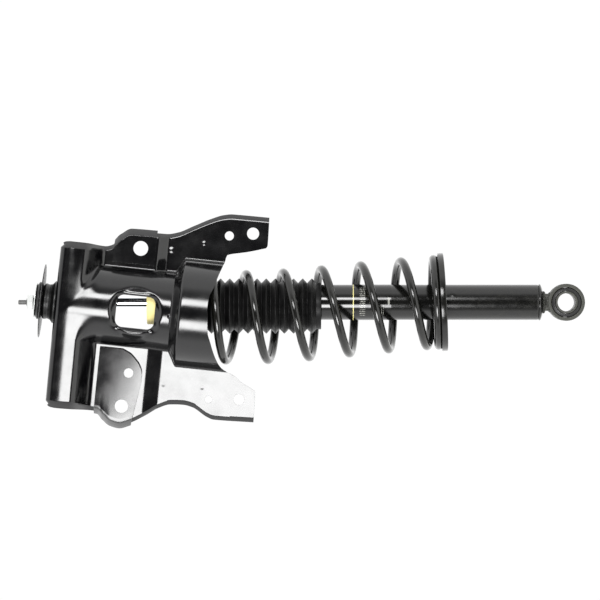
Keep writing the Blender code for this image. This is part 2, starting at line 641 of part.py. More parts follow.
def damper(heights, paint, steel, rubber, iron):
    """The tube and everything fixed in and on it, which travels along the rod."""
    seal_top, guide_top, guide_low = heights
    inner = TUBE_R - TUBE_WALL
    turned("reserve_tube", [
        (TUBE_R - 0.001, TUBE_TOP), (TUBE_R, TUBE_TOP - 0.001), (TUBE_R, TUBE_BOTTOM), (inner, TUBE_BOTTOM),
        (inner, TUBE_TOP - CRIMP), (STOP_R, TUBE_TOP - CRIMP), (STOP_R, TUBE_TOP)], paint)
    turned("tube_cap", ring_profile(TUBE_R - 0.0015, ROD_R + 0.002, TUBE_TOP + 0.003, TUBE_TOP + GAP), steel)
    fit = inner - GAP
    turned("rod_seal", ring_profile(fit, ROD_R + RUN, seal_top, seal_top - SEAL_H), rubber)
    turned("rod_guide", [
        (fit, guide_top), (fit, guide_low), (BORE_R - GAP, guide_low), (BORE_R - GAP, guide_low - GUIDE_SPIGOT),
        (ROD_R + RUN, guide_low - GUIDE_SPIGOT), (ROD_R + RUN, guide_top)], iron)
    turned("pressure_tube", ring_profile(BORE_R + BORE_WALL, BORE_R, guide_low - GAP, VALVE_Z[0] + GAP), steel)
    turned("foot_valve", [
        (0, VALVE_Z[0]), (BORE_R + BORE_WALL, VALVE_Z[0]), (fit, VALVE_Z[0] - 0.004), (fit, VALVE_Z[1]),
        (0, VALVE_Z[1])], iron)
    lip = TUBE_BOTTOM - GAP
    turned("base_cap", [
        (0, TUBE_BOTTOM + CAP_SKIRT), (fit, TUBE_BOTTOM + CAP_SKIRT), (fit, lip), (CAP_LIP_R, lip),
        (CAP_LIP_R, lip - CAP_LIP_H), (CAP_DOME_R, lip - CAP_DOME_H), (0, lip - CAP_DOME_H)], paint)

    neck_top = lip - CAP_DOME_H - GAP
    eye = lay_along_y(turned("lower_eye", ring_profile(EYE_R, EYE_R - EYE_WALL, EYE_HALF, -EYE_HALF), paint,
                             spot=(0, 0, EYE_Z)))
    neck_low = EYE_Z + EYE_R - EYE_WALL / 2
    bpy.ops.mesh.primitive_cube_add(size=1, location=(0, 0, (neck_top + neck_low) / 2))
    neck = bpy.context.object
    neck.name = "neck_block"
    neck.scale = (2 * NECK_HALF, 1.5 * NECK_HALF, neck_top - neck_low)
    bpy.ops.object.transform_apply(location=False, rotation=False, scale=True)
    as_cutter(neck)
    join = eye.modifiers.new("neck", "BOOLEAN")
    join.operation = "UNION"
    join.object = neck
    lay_along_y(turned("eye_bush", ring_profile(EYE_R - EYE_WALL - GAP, SLEEVE_R + RUN, EYE_HALF + 0.001,
                                               -EYE_HALF - 0.001), rubber, spot=(0, 0, EYE_Z)))


def eye_sleeve(zinc):
    pivot = bpy.data.objects.new("eye_pivot", None)
    place(pivot, PARTS)
    pivot.location = (0, 0, EYE_Z)
    lay_along_y(turned("eye_sleeve", ring_profile(SLEEVE_R, SLEEVE_BORE, SLEEVE_HALF, -SLEEVE_HALF), zinc, pivot))


def lower_seat(paint, rubber):
    """Tray for the spring's lower coil, its collar on the tube."""
    lean = bpy.data.objects.new("lower_seat_frame", None)
    place(lean, PARTS)
    lean.location = (0, 0, SPRING_LOW)
    lean.rotation_euler = (0, -SEAT_LEAN, 0)
    pad_top = -WIRE_R - GAP
    floor = pad_top - PAD_T - GAP
    rim_in = SEAT_R - SEAT_RIM
    under = floor - SEAT_T
    hub = TUBE_R + GAP + SEAT_T
    inner = TUBE_R - TUBE_WALL
    seat = turned("lower_spring_seat", [
        (rim_in, under + SEAT_RIM_H), (SEAT_R, under + SEAT_RIM_H), (SEAT_R, under), (inner, under),
        (inner, floor + SEAT_COLLAR_H), (hub, floor + SEAT_COLLAR_H), (hub, floor), (rim_in, floor)], paint, lean)
    cut(seat, round_cutter("tube_cutter", TUBE_R + GAP, (0, 0, SPRING_LOW), 0.100))
    turned("lower_spring_pad", ring_profile(COIL_OUT - GAP, PAD_IN, pad_top, pad_top - PAD_T), rubber,
           lean)


# ---- soft and sprung pieces -----------------------------------------------------------------------
def bump_stop(foam):
    head_low = BUMP_TOP - BUMP_HEAD_H
    ring = (BUMP_BODY_TOP - BUMP_END) / BUMP_RINGS
    outer = [(BUMP_HEAD_R - BUMP_CHAMFER, BUMP_TOP), (BUMP_HEAD_R, BUMP_TOP - BUMP_CHAMFER),
             (BUMP_HEAD_R, head_low + BUMP_CHAMFER), (BUMP_NECK_R, head_low),
             (BUMP_NECK_R, BUMP_BODY_TOP + BUMP_STEP), (BUMP_BODY_R, BUMP_BODY_TOP)]
    for k in range(BUMP_RINGS):
        z = BUMP_BODY_TOP - ring * k
        radius = BUMP_BODY_R - BUMP_TAPER * (k + 1)
        outer.append((radius, z - ring * 0.55))
        outer.append((radius - BUMP_GROOVE, z - ring))
    inner = [(BUMP_BORE, BUMP_END), (BUMP_BORE, BUMP_TOP)]
    turned("bump_stop", outer + inner, foam)


def dust_boot(rubber):
    """Bellows open at both ends: pleats inside a constant wall, a collar above and a cuff below."""
    shape = [(COLLAR_R, BOOT_TOP), (COLLAR_R, BOOT_TOP - COLLAR_H)]
    for k in range(PLEATS):
        top = BOOT_TOP - COLLAR_H - PITCH * k
        shape.append((PEAK_R, top - PITCH / 2))
        shape.append((VALLEY_R, top - PITCH))
    shape.append((VALLEY_R, shape[-1][1] - CUFF))
    inner = [(r - BOOT_WALL, z) for r, z in reversed(shape)]
    turned("dust_boot", shape + inner, rubber, spot=(BOOT_X, 0, 0))


def coil_height(turn):
    """Height above the lower end at a turn counted from it: closed, open, closed."""
    total = 2 * DEAD + ACTIVE
    steps = 200
    height = 0
    for k in range(steps):
        at = turn * (k + 0.5) / steps
        share = smooth_step(at, DEAD, DEAD + RAMP) * (1 - smooth_step(at, total - DEAD - RAMP, total - DEAD))
        height += (DEAD_PITCH + share) * turn / steps
    return height


def spring_axis(share):
    """Centre and direction of the coil's axis, from the lower seat (0) to the upper (1)."""
    low = Vector((0, 0, SPRING_LOW))
    high = Vector((SPRING_TOP_X * math.cos(LEAN) + SPRING_TOP * math.sin(LEAN), 0,
                   SPRING_TOP * math.cos(LEAN) - SPRING_TOP_X * math.sin(LEAN)))
    length = (high - low).length
    go = Vector((-math.sin(SEAT_LEAN), 0, math.cos(SEAT_LEAN))) * length
    arrive = Vector((math.sin(LEAN), 0, math.cos(LEAN))) * length
    t = share
    spot = ((2 * t**3 - 3 * t**2 + 1) * low + (t**3 - 2 * t**2 + t) * go
            + (3 * t**2 - 2 * t**3) * high + (t**3 - t**2) * arrive)
    way = ((6 * t**2 - 6 * t) * low + (3 * t**2 - 4 * t + 1) * go
           + (6 * t - 6 * t**2) * high + (3 * t**2 - 2 * t) * arrive)
    return spot, way.normalized()


def coil_path():
    """Right-handed helix round the bowed axis, flat on both seats."""
    total = 2 * DEAD + ACTIVE
    count = round(total * COIL_POINTS)
    closed = DEAD_PITCH * total
    open_height = coil_height(total) - closed
    low, _ = spring_axis(0)
    high, _ = spring_axis(1)
    rise = (high - low).length
    scale = (rise - closed) / open_height
    points = []
    for k in range(count + 1):
        turn = total * k / count
        height = coil_height(turn) - DEAD_PITCH * turn
        share = (height * scale + DEAD_PITCH * turn) / rise
        spot, way = spring_axis(share)
        across = Vector((0, 1, 0)).cross(way)
        angle = math.tau * (turn - DEAD)
        points.append(spot + COIL_R * (math.cos(angle) * across + math.sin(angle) * Vector((0, 1, 0))))
    return points


def coil_spring(finish):
    curve = bpy.data.curves.new("coil_spring", "CURVE")
    curve.dimensions = "3D"
    curve.bevel_depth = WIRE_R
    curve.bevel_resolution = 2
    curve.use_fill_caps = True
    points = coil_path()
    spline = curve.splines.new("POLY")
    spline.points.add(len(points) - 1)
    for point, spot in zip(spline.points, points):
        point.co = (*spot, 1)
    place(bpy.data.objects.new("coil_spring", curve), PARTS, None, finish)


def main():
    black = material("black_ecoat", (0.012, 0.012, 0.013), 0.25, 0)
    paint = material("black_paint", (0.015, 0.015, 0.015), 0.38, 0)
    rubber = material("black_rubber", (0.02, 0.02, 0.02), 0.7, 0)
    chrome = material("chromed_steel", (0.75, 0.76, 0.78), 0.08, 1)
    zinc = material("zinc_plate", (0.60, 0.61, 0.60), 0.3, 1)
    steel = material("bare_steel", (0.35, 0.35, 0.35), 0.4, 1)
    iron = material("sintered_iron", (0.20, 0.20, 0.20), 0.5, 1)
    foam = material("urethane_foam", (0.80, 0.70, 0.30), 0.6, 0)
    coil_paint = material("spring_coating", (0.02, 0.021, 0.018), 0.35, 0)

    frame = bpy.data.objects.new("bracket_frame", None)
    place(frame, PARTS)
    frame.rotation_euler = (0, LEAN, 0)
    tower_shell(frame, black)
    ear_plate("upper_ear_plate", UPPER_EAR, 1, ["upper_ear_bolt"], frame, black)
    ear_plate("lower_ear_plate", LOWER_EAR, -1, ["lower_ear_bolt", "lower_ear_pilot"], frame, black)
    stack_low = crown_stack(frame, black, rubber, zinc)
    upper_seat(frame, black, rubber)

    shoulder = stack_low - ROD_R * math.tan(LEAN) - GAP
    heights = rod_set(shoulder, chrome, zinc, steel, iron)
    damper(heights, paint, steel, rubber, iron)
    eye_sleeve(zinc)
    lower_seat(paint, rubber)
    bump_stop(foam)
    dust_boot(rubber)
    coil_spring(coil_paint)


clear_scene()
PARTS = collection("strut_assembly")
CUTTERS = collection("cutters")
main()
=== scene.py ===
"""Finished looks of the rear strut assembly: its pressings, spring, bellows, damper, finishes and studio."""

import json
import math

import bmesh
import bpy
from bpy.props import FloatProperty, FloatVectorProperty, IntProperty, PointerProperty
from mathutils import Matrix, Vector


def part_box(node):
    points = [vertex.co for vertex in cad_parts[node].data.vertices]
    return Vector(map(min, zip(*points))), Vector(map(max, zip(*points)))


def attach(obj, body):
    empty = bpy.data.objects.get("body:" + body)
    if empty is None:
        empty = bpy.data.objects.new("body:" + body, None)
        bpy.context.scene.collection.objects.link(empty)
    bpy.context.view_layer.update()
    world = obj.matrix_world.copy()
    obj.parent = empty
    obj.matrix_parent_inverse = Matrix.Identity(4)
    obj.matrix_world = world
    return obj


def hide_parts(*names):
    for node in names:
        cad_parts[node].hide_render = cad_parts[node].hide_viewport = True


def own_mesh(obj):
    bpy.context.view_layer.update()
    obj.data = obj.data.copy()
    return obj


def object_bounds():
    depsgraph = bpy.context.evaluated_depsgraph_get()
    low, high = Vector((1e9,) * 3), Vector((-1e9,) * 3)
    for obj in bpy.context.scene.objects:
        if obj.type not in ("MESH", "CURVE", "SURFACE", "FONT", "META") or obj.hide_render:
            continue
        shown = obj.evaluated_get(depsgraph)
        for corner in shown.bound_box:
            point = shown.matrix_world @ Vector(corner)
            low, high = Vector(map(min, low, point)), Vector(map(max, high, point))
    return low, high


bl_info = {
    "name": "Strut Assembly Looks",
    "version": (1, 0, 0),
    "blender": (4, 5, 0),
    "location": "3D View > Sidebar > Strut",
    "description": "Pressed bracket, coil spring, bellows, damper and studio of a rear strut assembly",
    "category": "Object",
}

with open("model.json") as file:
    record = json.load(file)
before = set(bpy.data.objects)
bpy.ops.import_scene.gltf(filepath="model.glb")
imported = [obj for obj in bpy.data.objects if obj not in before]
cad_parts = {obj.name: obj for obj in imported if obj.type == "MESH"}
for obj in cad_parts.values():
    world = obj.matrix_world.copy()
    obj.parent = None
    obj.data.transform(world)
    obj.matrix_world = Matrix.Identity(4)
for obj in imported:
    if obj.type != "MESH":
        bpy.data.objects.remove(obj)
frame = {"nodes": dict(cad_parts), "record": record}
CAD_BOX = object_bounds()

# ---- fixed places of the assembly, metres -----------------------------------------------------------
GAP = 0.0003
LEAN = math.radians(6)                  # the bracket against the rod
TO_ROW = Matrix.Rotation(LEAN, 4, "Y")  # bracket frame to row frame
ON_SIDE = Matrix.Rotation(math.radians(90), 4, "X")
LIP = 0.003
BULGE_X = 0.0035
FOOT_R = 0.003
BEND_TURNS = (1, 6, 22, 42, 64, 90)     # where a turned edge's rows lie, degrees round the bend
BEND_FLAT = 1.06                        # cuts the round bend back to a flat flank
SHOULDER = (-0.148, -0.158)
CROWN_BACK = 0.038
CROWN_TAPER = (0.036, 0.064)
CHANNEL_WALL = (-0.030, -0.057)
CHANNEL_FALL = (math.radians(12), math.radians(4.5))     # roof's slopes, lower and upper side
CHANNEL_CROWN = (0.0040, 0.0225)        # roof's fall towards the crown, and the z that it starts from
CHANNEL_TWIST = (math.radians(4), 0.014, 0.032)         # slope that the upper side gains, from z to z
WIDE_BEND = (0.035, 0.060)              # z over which the channel's wide bend narrows to the arms'
EAR_Y = -0.008
ARM_Y = 0.001
LOWER_TILT = math.tan(math.radians(12))
JOGGLE_UP = (-0.122, -0.134)
JOGGLE_LOW = (-0.122, -0.141)
POCKET = (0.020, -0.038, 0.045, -0.062)
SHEET_END = -0.266
CROWN_HOLE_R = 0.0143

# outer edges of the pressed sheet, (z, x) in the bracket frame
EDGE_UP = [(0, 0.0765), (-0.012, 0.0790), (-0.030, 0.0790), (-0.054, 0.0775), (-0.063, 0.0800),
           (-0.074, 0.0915), (-0.087, 0.1000), (-0.131, 0.1012), (-0.145, 0.1048), (-0.164, 0.1150),
           (-0.185, 0.1263), (-0.200, 0.1326), (-0.212, 0.1348), (SHEET_END, 0.1355)]
EDGE_LOW = [(0, -0.1310), (-0.012, -0.1336), (-0.057, -0.1325), (-0.066, -0.1330), (-0.074, -0.1395),
            (-0.084, -0.1465), (-0.0945, -0.1485), (-0.106, -0.1445), (-0.128, -0.1312), (-0.142, -0.1210),
            (-0.157, -0.1146), (-0.174, -0.1133), (-0.185, -0.1150), (-0.206, -0.1259),
            (-0.214, -0.1281), (SHEET_END, -0.1262)]

# rim of the sheet between the arms and round their ends, (x, z)
MOUTH = [(0.140, -0.2580), (0.107, -0.2596), (0.0975, -0.2590), (0.0945, -0.2530), (0.0889, -0.2350),
         (0.0835, -0.2130), (0.0800, -0.2092), (0.0723, -0.2076), (0.0530, -0.2018), (0.0387, -0.1980),
         (0.0275, -0.1940), (0.0120, -0.1930), (0.0004, -0.1946), (-0.0179, -0.1965), (-0.0298, -0.2010),
         (-0.0446, -0.2070), (-0.0578, -0.2146), (-0.0647, -0.2230), (-0.0700, -0.2360),
         (-0.0765, -0.2440), (-0.0840, -0.2595), (-0.0900, -0.2636), (-0.130, -0.2652)]
WINDOW = (-0.0016, -0.1025, 0.041, 0.049, 0.009)
PAD_Y = -0.0440                         # flat that the window is pierced through
PAD_R = (0.0275, 0.034)
RIM = (0.0045, 0.0026, 0.0115, 0.0085)  # width and depth of the turned-in rim: upper side, lower side

# holes, (x, z, radius)
SHEET_HOLES = [(0.1130, -0.2397, 0.0077), (0.1070, -0.2100, 0.00575), (-0.0989, -0.2437, 0.0070),
               (-0.1030, -0.2050, 0.00465), (0.0793, -0.1000, 0.01085), (-0.1228, -0.0962, 0.0100),
               (-0.0798, -0.1010, 0.0075)]
UPPER_EAR = (-0.066, -0.119, 0.0590)
UPPER_EAR_HOLES = [(0.0793, -0.1000, 0.00935)]
LOWER_EAR = (-0.0615, -0.1190, -0.0505)
LOWER_EAR_HOLES = [(-0.1228, -0.0962, 0.0085), (-0.0798, -0.1010, 0.0060)]
LOWER_EAR_TRIM = [(-0.0400, -0.0760), (-0.0500, -0.0900), (-0.0555, -0.1010), (-0.0610, -0.1070),
                  (-0.0681, -0.1131), (-0.0778, -0.1175), (-0.0900, -0.1178), (-0.1023, -0.1162),
                  (-0.1347, -0.1115), (-0.1600, -0.1080)]
# small round marks pressed in the sheet, (x, z, radius, height in mm)
MARKS = [(0.0814, -0.1385, 0.0050, 0.65), (0.0941, -0.1790, 0.0040, 0.50), (-0.0897, -0.1460, 0.0042, 0.20),
         (-0.0884, -0.1955, 0.0042, 0.22), (-0.0028, -0.1460, 0.0034, 0.90)]

# crown stack, heights in the bracket frame
BUSH_TOP = 0.0175
SHIELD_TOP = BUSH_TOP + GAP + 0.0013
TOP_BUSH_TOP = SHIELD_TOP + GAP + 0.0066
CUP_TOP = TOP_BUSH_TOP + GAP + 0.0015
BUSH_BORE = 0.0088

# damper and soft parts, heights in the row frame
TUBE_TOP = -0.3248
TUBE_BOTTOM = -0.6128
EYE_Z = -0.648
SPRING_LOW = -0.4842
SPRING_TOP = -0.174
SPRING_TOP_X = 0.002
SEAT_LEAN = math.radians(3)
DEAD = 0.75
RAMP = 0.45
DEAD_PITCH = 0.0026
BUMP_TOP = -0.1156
BUMP_HEAD_LOW = -0.1550
BUMP_BODY_TOP = -0.1740
BUMP_END = -0.2320
BUMP_HEAD_R = 0.028
BUMP_WAIST_R = 0.0175
BUMP_BODY_R = 0.0215
TUBE_WALL = 0.0018
CAP_DROP = 0.0054                       # depth of the base cap's dome below the tube
EYE_SLEEVE_WALL = 0.0025


# ---- settings ---------------------------------------------------------------------------------------
def linear(hex_colour):
    """An sRGB hex colour as the linear one that a shader takes."""
    parts = [int(hex_colour[i:i + 2], 16) / 255 for i in (1, 3, 5)]
    return tuple(p / 12.92 if p <= 0.04045 else ((p + 0.055) / 1.055) ** 2.4 for p in parts)


def length(name, description, default, smallest=0.0001, largest=1.0):
    return FloatProperty(name=name, description=description, default=default, min=smallest, max=largest,
                         subtype="DISTANCE", unit="LENGTH", precision=5)


def colour(name, description, hex_colour):
    return FloatVectorProperty(name=name, description=description, default=linear(hex_colour), min=0, max=1,
                               size=3, subtype="COLOR")


class StrutBracketSettings(bpy.types.PropertyGroup):
    """Sizes of the pressed bracket."""
    sheet: length("Sheet", "Thickness of the pressed sheet", 0.003)
    bend: length("Bend", "Outer radius of the turned edges", 0.0055)
    tower: length("Tower Radius", "Outer radius of the bulge round the rod", 0.049)
    flare: length("Flare Radius", "Outer radius of the bulge round the spring's top", 0.067)
    channel: length("Channel Height", "Height of the cross channel at the rod", 0.0486)
    crown_bend: length("Crown Bend", "Outer radius of the crown's and channel's turned edges", 0.0085)
    shield: length("Shield Radius", "Radius of the thin splash washer", 0.0468)
    bush: length("Bush Radius", "Radius of the mount's rubber bushes", 0.023)
    mesh_step: length("Mesh Step", "Spacing of the sheet's mesh", 0.0016)


class StrutDamperSettings(bpy.types.PropertyGroup):
    """Sizes of the rod, tube and eye."""
    rod: length("Rod Radius", "Radius of the chromed rod", 0.007)
    stud: length("Stud Radius", "Radius of the threaded end over its threads", 0.0058)
    thread: length("Thread Pitch", "Pitch of the stud's thread", 0.00125)
    nut: length("Nut Width", "Width across the nut's flats", 0.018)
    tube: length("Tube Radius", "Outer radius of the reserve tube", 0.0225)
    eye: length("Eye Radius", "Outer radius of the eye ring", 0.0235)
    eye_wall: length("Eye Wall", "Wall of the eye ring", 0.0045)
    eye_half: length("Eye Half Width", "Half the eye ring's width", 0.0175)
    sleeve: length("Sleeve Radius", "Outer radius of the eye's steel sleeve", 0.0140)
    label_top: length("Label Top", "Height of the label's upper end below the crown", 0.376)
    label_end: length("Label End", "Height of the label's lower end below the crown", 0.4255)


class StrutSpringSettings(bpy.types.PropertyGroup):
    """Sizes of the coil spring and its lower tray."""
    wire: length("Wire Radius", "Radius of the spring wire", 0.0055)
    coil: length("Coil Radius", "Mean radius of the coil", 0.055)
    turns: FloatProperty(name="Open Turns", description="Turns between the closed ends", default=6.55,
                         min=2, max=12)
    tray: length("Tray Radius", "Outer radius of the lower tray", 0.0625)
    tray_sheet: length("Tray Sheet", "Sheet of the lower tray", 0.0025)


class StrutBootSettings(bpy.types.PropertyGroup):
    """Sizes of the bellows."""
    peak: length("Peak Radius", "Radius over the pleats", 0.0350)
    valley: length("Valley Radius", "Radius between the pleats", 0.0296)
    pitch: length("Pitch", "Height of one pleat", 0.0116)
    wall: length("Wall", "Wall of the moulding", 0.0015)
    pleats: IntProperty(name="Pleats", description="Number of pleats", default=13, min=3, max=30)
    offset: FloatProperty(name="Offset", description="How far the bellows hangs off the rod's axis",
                          default=-0.0048, subtype="DISTANCE", unit="LENGTH", precision=5)


class StrutFinishSettings(bpy.types.PropertyGroup):
    """Colours of the finishes."""
    ecoat: colour("E-coat", "Gloss black coat of the bracket", "#060607")
    paint: colour("Tube Paint", "Satin black paint of the tube and eye", "#0A0A09")
    coil: colour("Spring Coat", "Powder coat of the spring", "#0B0B09")
    rubber: colour("Rubber", "Moulded rubber", "#080808")
    zinc: colour("Zinc", "Zinc plate", "#8E9490")
    chrome: colour("Chrome", "Hard chrome of the rod", "#DDDFE2")
    foam: colour("Foam", "Urethane of the bump stop", "#D8C98A")
    label: colour("Label Line", "Coloured line of the label", "#D8CF8C")


class StrutStageSettings(bpy.types.PropertyGroup):
    """Studio round the assembly."""
    far: length("Camera Distance", "From the rod to the camera", 6.0, 1, 20)
    lens: FloatProperty(name="Focal Length", description="Camera lens in millimetres", default=283,
                        min=50, max=600)
    glow: FloatProperty(name="Surround", description="Brightness of the white surround", default=1.5,
                        min=0, max=5)
    strip: FloatProperty(name="Strip Lights", description="Brightness of the two strip lights", default=21,
                         min=0, max=60)
    drop: length("Floor Drop", "From the eye to the floor", 0.13)


def settings(name):
    return getattr(bpy.context.scene, "strut_" + name)


# ---- shader helpers -----------------------------------------------------------------------------------
def add_node(tree, kind, inputs=None, **values):
    """A new node with its settings; an input is given a number or the socket that feeds it."""
    made = tree.nodes.new(kind)
    for key, value in values.items():
        setattr(made, key, value)
    for key, value in (inputs or {}).items():
        if isinstance(value, bpy.types.NodeSocket):
            tree.links.new(value, made.inputs[key])
        else:
            made.inputs[key].default_value = value
    return made


def new_finish(name, base, roughness, metallic=0.0, ior=1.5):
    """An empty finish: its material, tree, Principled shader and Object coordinates."""
    made = bpy.data.materials.new(name)
    made.use_nodes = True
    made.diffuse_color = (*base, 1)
    tree = made.node_tree
    shader = tree.nodes["Principled BSDF"]
    shader.inputs["Base Color"].default_value = (*base, 1)
    shader.inputs["Roughness"].default_value = roughness
    shader.inputs["Metallic"].default_value = metallic
    shader.inputs["IOR"].default_value = ior
    where = add_node(tree, "ShaderNodeTexCoord").outputs["Object"]
    return made, tree, shader, where


def noise(tree, where, size_mm, detail=2.0, rough=0.5):
    """Noise whose lumps are size_mm across."""
    return add_node(tree, "ShaderNodeTexNoise", {"Vector": where, "Scale": 1000 / size_mm, "Detail": detail,
                                                 "Roughness": rough}).outputs["Fac"]


def spread(tree, value, low, high, start=0.3, end=0.7, kind="LINEAR"):
    return add_node(tree, "ShaderNodeMapRange", {"Value": value, "From Min": start, "From Max": end,
                                                 "To Min": low, "To Max": high},
                    interpolation_type=kind).outputs["Result"]


def blend_colours(tree, share, first, second):
    mixed = add_node(tree, "ShaderNodeMix", data_type="RGBA")
    colours = [s for s in mixed.inputs if s.type == "RGBA"]
    for socket, value in zip(colours, (first, second)):
        if isinstance(value, bpy.types.NodeSocket):
            tree.links.new(value, socket)
        else:
            socket.default_value = (*value, 1)
    tree.links.new(share, mixed.inputs[0])
    return [s for s in mixed.outputs if s.type == "RGBA"][0]


def sums(tree, values):
    total = values[0]
    for value in values[1:]:
        total = add_node(tree, "ShaderNodeMath", {0: total, 1: value}, operation="ADD").outputs[0]
    return total


def relief(tree, shader, layers, edge_mm=0.0):
    """Bumps, (height socket, depth in mm), over an edge rounded to edge_mm."""
    normal = None
    if edge_mm:
        normal = add_node(tree, "ShaderNodeBevel", {"Radius": edge_mm / 1000}, samples=4).outputs["Normal"]
    for height, depth_mm in layers:
        inputs = {"Height": height, "Distance": depth_mm / 1000, "Strength": 1.0}
        if normal is not None:
            inputs["Normal"] = normal
        normal = add_node(tree, "ShaderNodeBump", inputs).outputs["Normal"]
    tree.links.new(normal, shader.inputs["Normal"])


def wear(tree, base, worn, edge_mm):
    """Base colour with the coat thinner, so paler, where an edge is sharp."""
    shape = add_node(tree, "ShaderNodeNewGeometry").outputs["Normal"]
    eased = add_node(tree, "ShaderNodeBevel", {"Radius": edge_mm / 1000}, samples=4).outputs["Normal"]
    turn = add_node(tree, "ShaderNodeVectorMath", {0: shape, 1: eased},
                    operation="DOT_PRODUCT").outputs["Value"]
    share = spread(tree, turn, 1.0, 0.0, 0.86, 0.99)
    return blend_colours(tree, share, base, worn)


# ---- finishes -------------------------------------------------------------------------------------------
def finish(name):
    """The named finish, made the first time it is asked for."""
    return bpy.data.materials.get(name) or FINISHES[name](name)


def gloss_ecoat(name):
    """Dipped and baked epoxy on pressed steel: deep gloss black, faint orange peel, paler on sharp edges."""
    base = tuple(settings("finish").ecoat)
    made, tree, shader, where = new_finish(name, base, 0.14, ior=1.55)
    dust = noise(tree, where, 9, 4, 0.6)
    coat = wear(tree, base, linear("#161616"), 0.9)
    film = blend_colours(tree, spread(tree, dust, 0.0, 1.0, 0.55, 0.85), coat, linear("#121212"))
    tree.links.new(film, shader.inputs["Base Color"])
    tree.links.new(spread(tree, noise(tree, where, 22, 3), 0.11, 0.20), shader.inputs["Roughness"])
    flat = add_node(tree, "ShaderNodeVectorMath", {0: where, 1: (1, 0, 1)}, operation="MULTIPLY").outputs[0]
    domes = []
    for x, z, radius, height in MARKS:
        spot = TO_ROW @ Vector((x, 0, z))
        far = add_node(tree, "ShaderNodeVectorMath", {0: flat, 1: (spot.x, 0, spot.z)},
                       operation="DISTANCE").outputs["Value"]
        domes.append(spread(tree, far, height, 0.0, 0.0, radius, "SMOOTHSTEP"))
    relief(tree, shader, [(sums(tree, domes), 1.0), (noise(tree, where, 45, 1), 0.16),
                          (noise(tree, where, 3.2, 1), 0.0012)], 0.4)
    return made


def satin_paint(name):
    """Sprayed satin black on the tube and eye: soft sheen, fine spray grain, a little dust."""
    base = tuple(settings("finish").paint)
    made, tree, shader, where = new_finish(name, base, 0.15, ior=1.5)
    coat = wear(tree, base, linear("#1E1E1A"), 0.6)
    film = blend_colours(tree, spread(tree, noise(tree, where, 6, 5, 0.65), 0.0, 1.0, 0.5, 0.85), coat,
                         linear("#191915"))
    tree.links.new(film, shader.inputs["Base Color"])
    tree.links.new(spread(tree, noise(tree, where, 12, 3), 0.13, 0.19), shader.inputs["Roughness"])
    relief(tree, shader, [(noise(tree, where, 1.1, 2), 0.005)], 0.5)
    return made


def gloss_tube_paint(name):
    """The same paint where nothing has rubbed it, under the spring: glossier."""
    base = tuple(settings("finish").paint)
    made, tree, shader, where = new_finish(name, base, 0.13, ior=1.52)
    tree.links.new(spread(tree, noise(tree, where, 12, 3), 0.10, 0.16), shader.inputs["Roughness"])
    film = blend_colours(tree, spread(tree, noise(tree, where, 5, 5, 0.65), 0.0, 1.0, 0.5, 0.8), base,
                         linear("#121210"))
    tree.links.new(film, shader.inputs["Base Color"])
    relief(tree, shader, [(noise(tree, where, 1.3, 2), 0.008)], 0.5)
    return made


def spring_coat(name):
    """Powder coat on spring wire: half-gloss black with a pebbled skin and small chips."""
    base = tuple(settings("finish").coil)
    made, tree, shader, where = new_finish(name, base, 0.16, ior=1.5)
    chips = spread(tree, noise(tree, where, 1.6, 2, 0.7), 0.0, 1.0, 0.70, 0.74)
    film = blend_colours(tree, chips, base, linear("#1C1C18"))
    tree.links.new(film, shader.inputs["Base Color"])
    tree.links.new(spread(tree, noise(tree, where, 7, 3), 0.12, 0.22), shader.inputs["Roughness"])
    relief(tree, shader, [(noise(tree, where, 1.8, 2), 0.012)])
    return made


def moulded_rubber(name):
    """Natural rubber from a polished mould: soft highlights on black, a dusty bloom, fine pores."""
    base = tuple(settings("finish").rubber)
    made, tree, shader, where = new_finish(name, base, 0.38, ior=1.52)
    bloom = spread(tree, noise(tree, where, 5, 5, 0.7), 0.0, 1.0, 0.5, 0.85)
    tree.links.new(blend_colours(tree, bloom, base, linear("#151514")), shader.inputs["Base Color"])
    tree.links.new(spread(tree, noise(tree, where, 3, 3), 0.30, 0.48), shader.inputs["Roughness"])
    shader.inputs["Specular IOR Level"].default_value = 0.4
    relief(tree, shader, [(noise(tree, where, 0.9, 3, 0.7), 0.03)], 0.4)
    return made


def bellows_rubber(name):
    """Blow-moulded elastomer: matt black pleats with a slight waxy sheen."""
    base = linear("#040404")
    made, tree, shader, where = new_finish(name, base, 0.42, ior=1.48)
    bloom = spread(tree, noise(tree, where, 4, 5, 0.7), 0.0, 1.0, 0.52, 0.9)
    tree.links.new(blend_colours(tree, bloom, base, linear("#0E0E0E")), shader.inputs["Base Color"])
    tree.links.new(spread(tree, noise(tree, where, 6, 3), 0.36, 0.50), shader.inputs["Roughness"])
    shader.inputs["Specular IOR Level"].default_value = 0.22
    relief(tree, shader, [(noise(tree, where, 1.2, 3, 0.7), 0.03)])
    return made


def zinc_plate(name):
    """Bright zinc with clear passivate: pale grey metal, faint green and straw tints, turning marks."""
    base = tuple(settings("finish").zinc)
    made, tree, shader, where = new_finish(name, base, 0.28, 1.0)
    tint = spread(tree, noise(tree, where, 4, 3), 0.0, 1.0)
    tree.links.new(blend_colours(tree, tint, base, linear("#B7C2AE")), shader.inputs["Base Color"])
    tree.links.new(spread(tree, noise(tree, where, 2, 4, 0.7), 0.20, 0.38), shader.inputs["Roughness"])
    relief(tree, shader, [(noise(tree, where, 0.7, 2), 0.01)], 0.3)
    return made


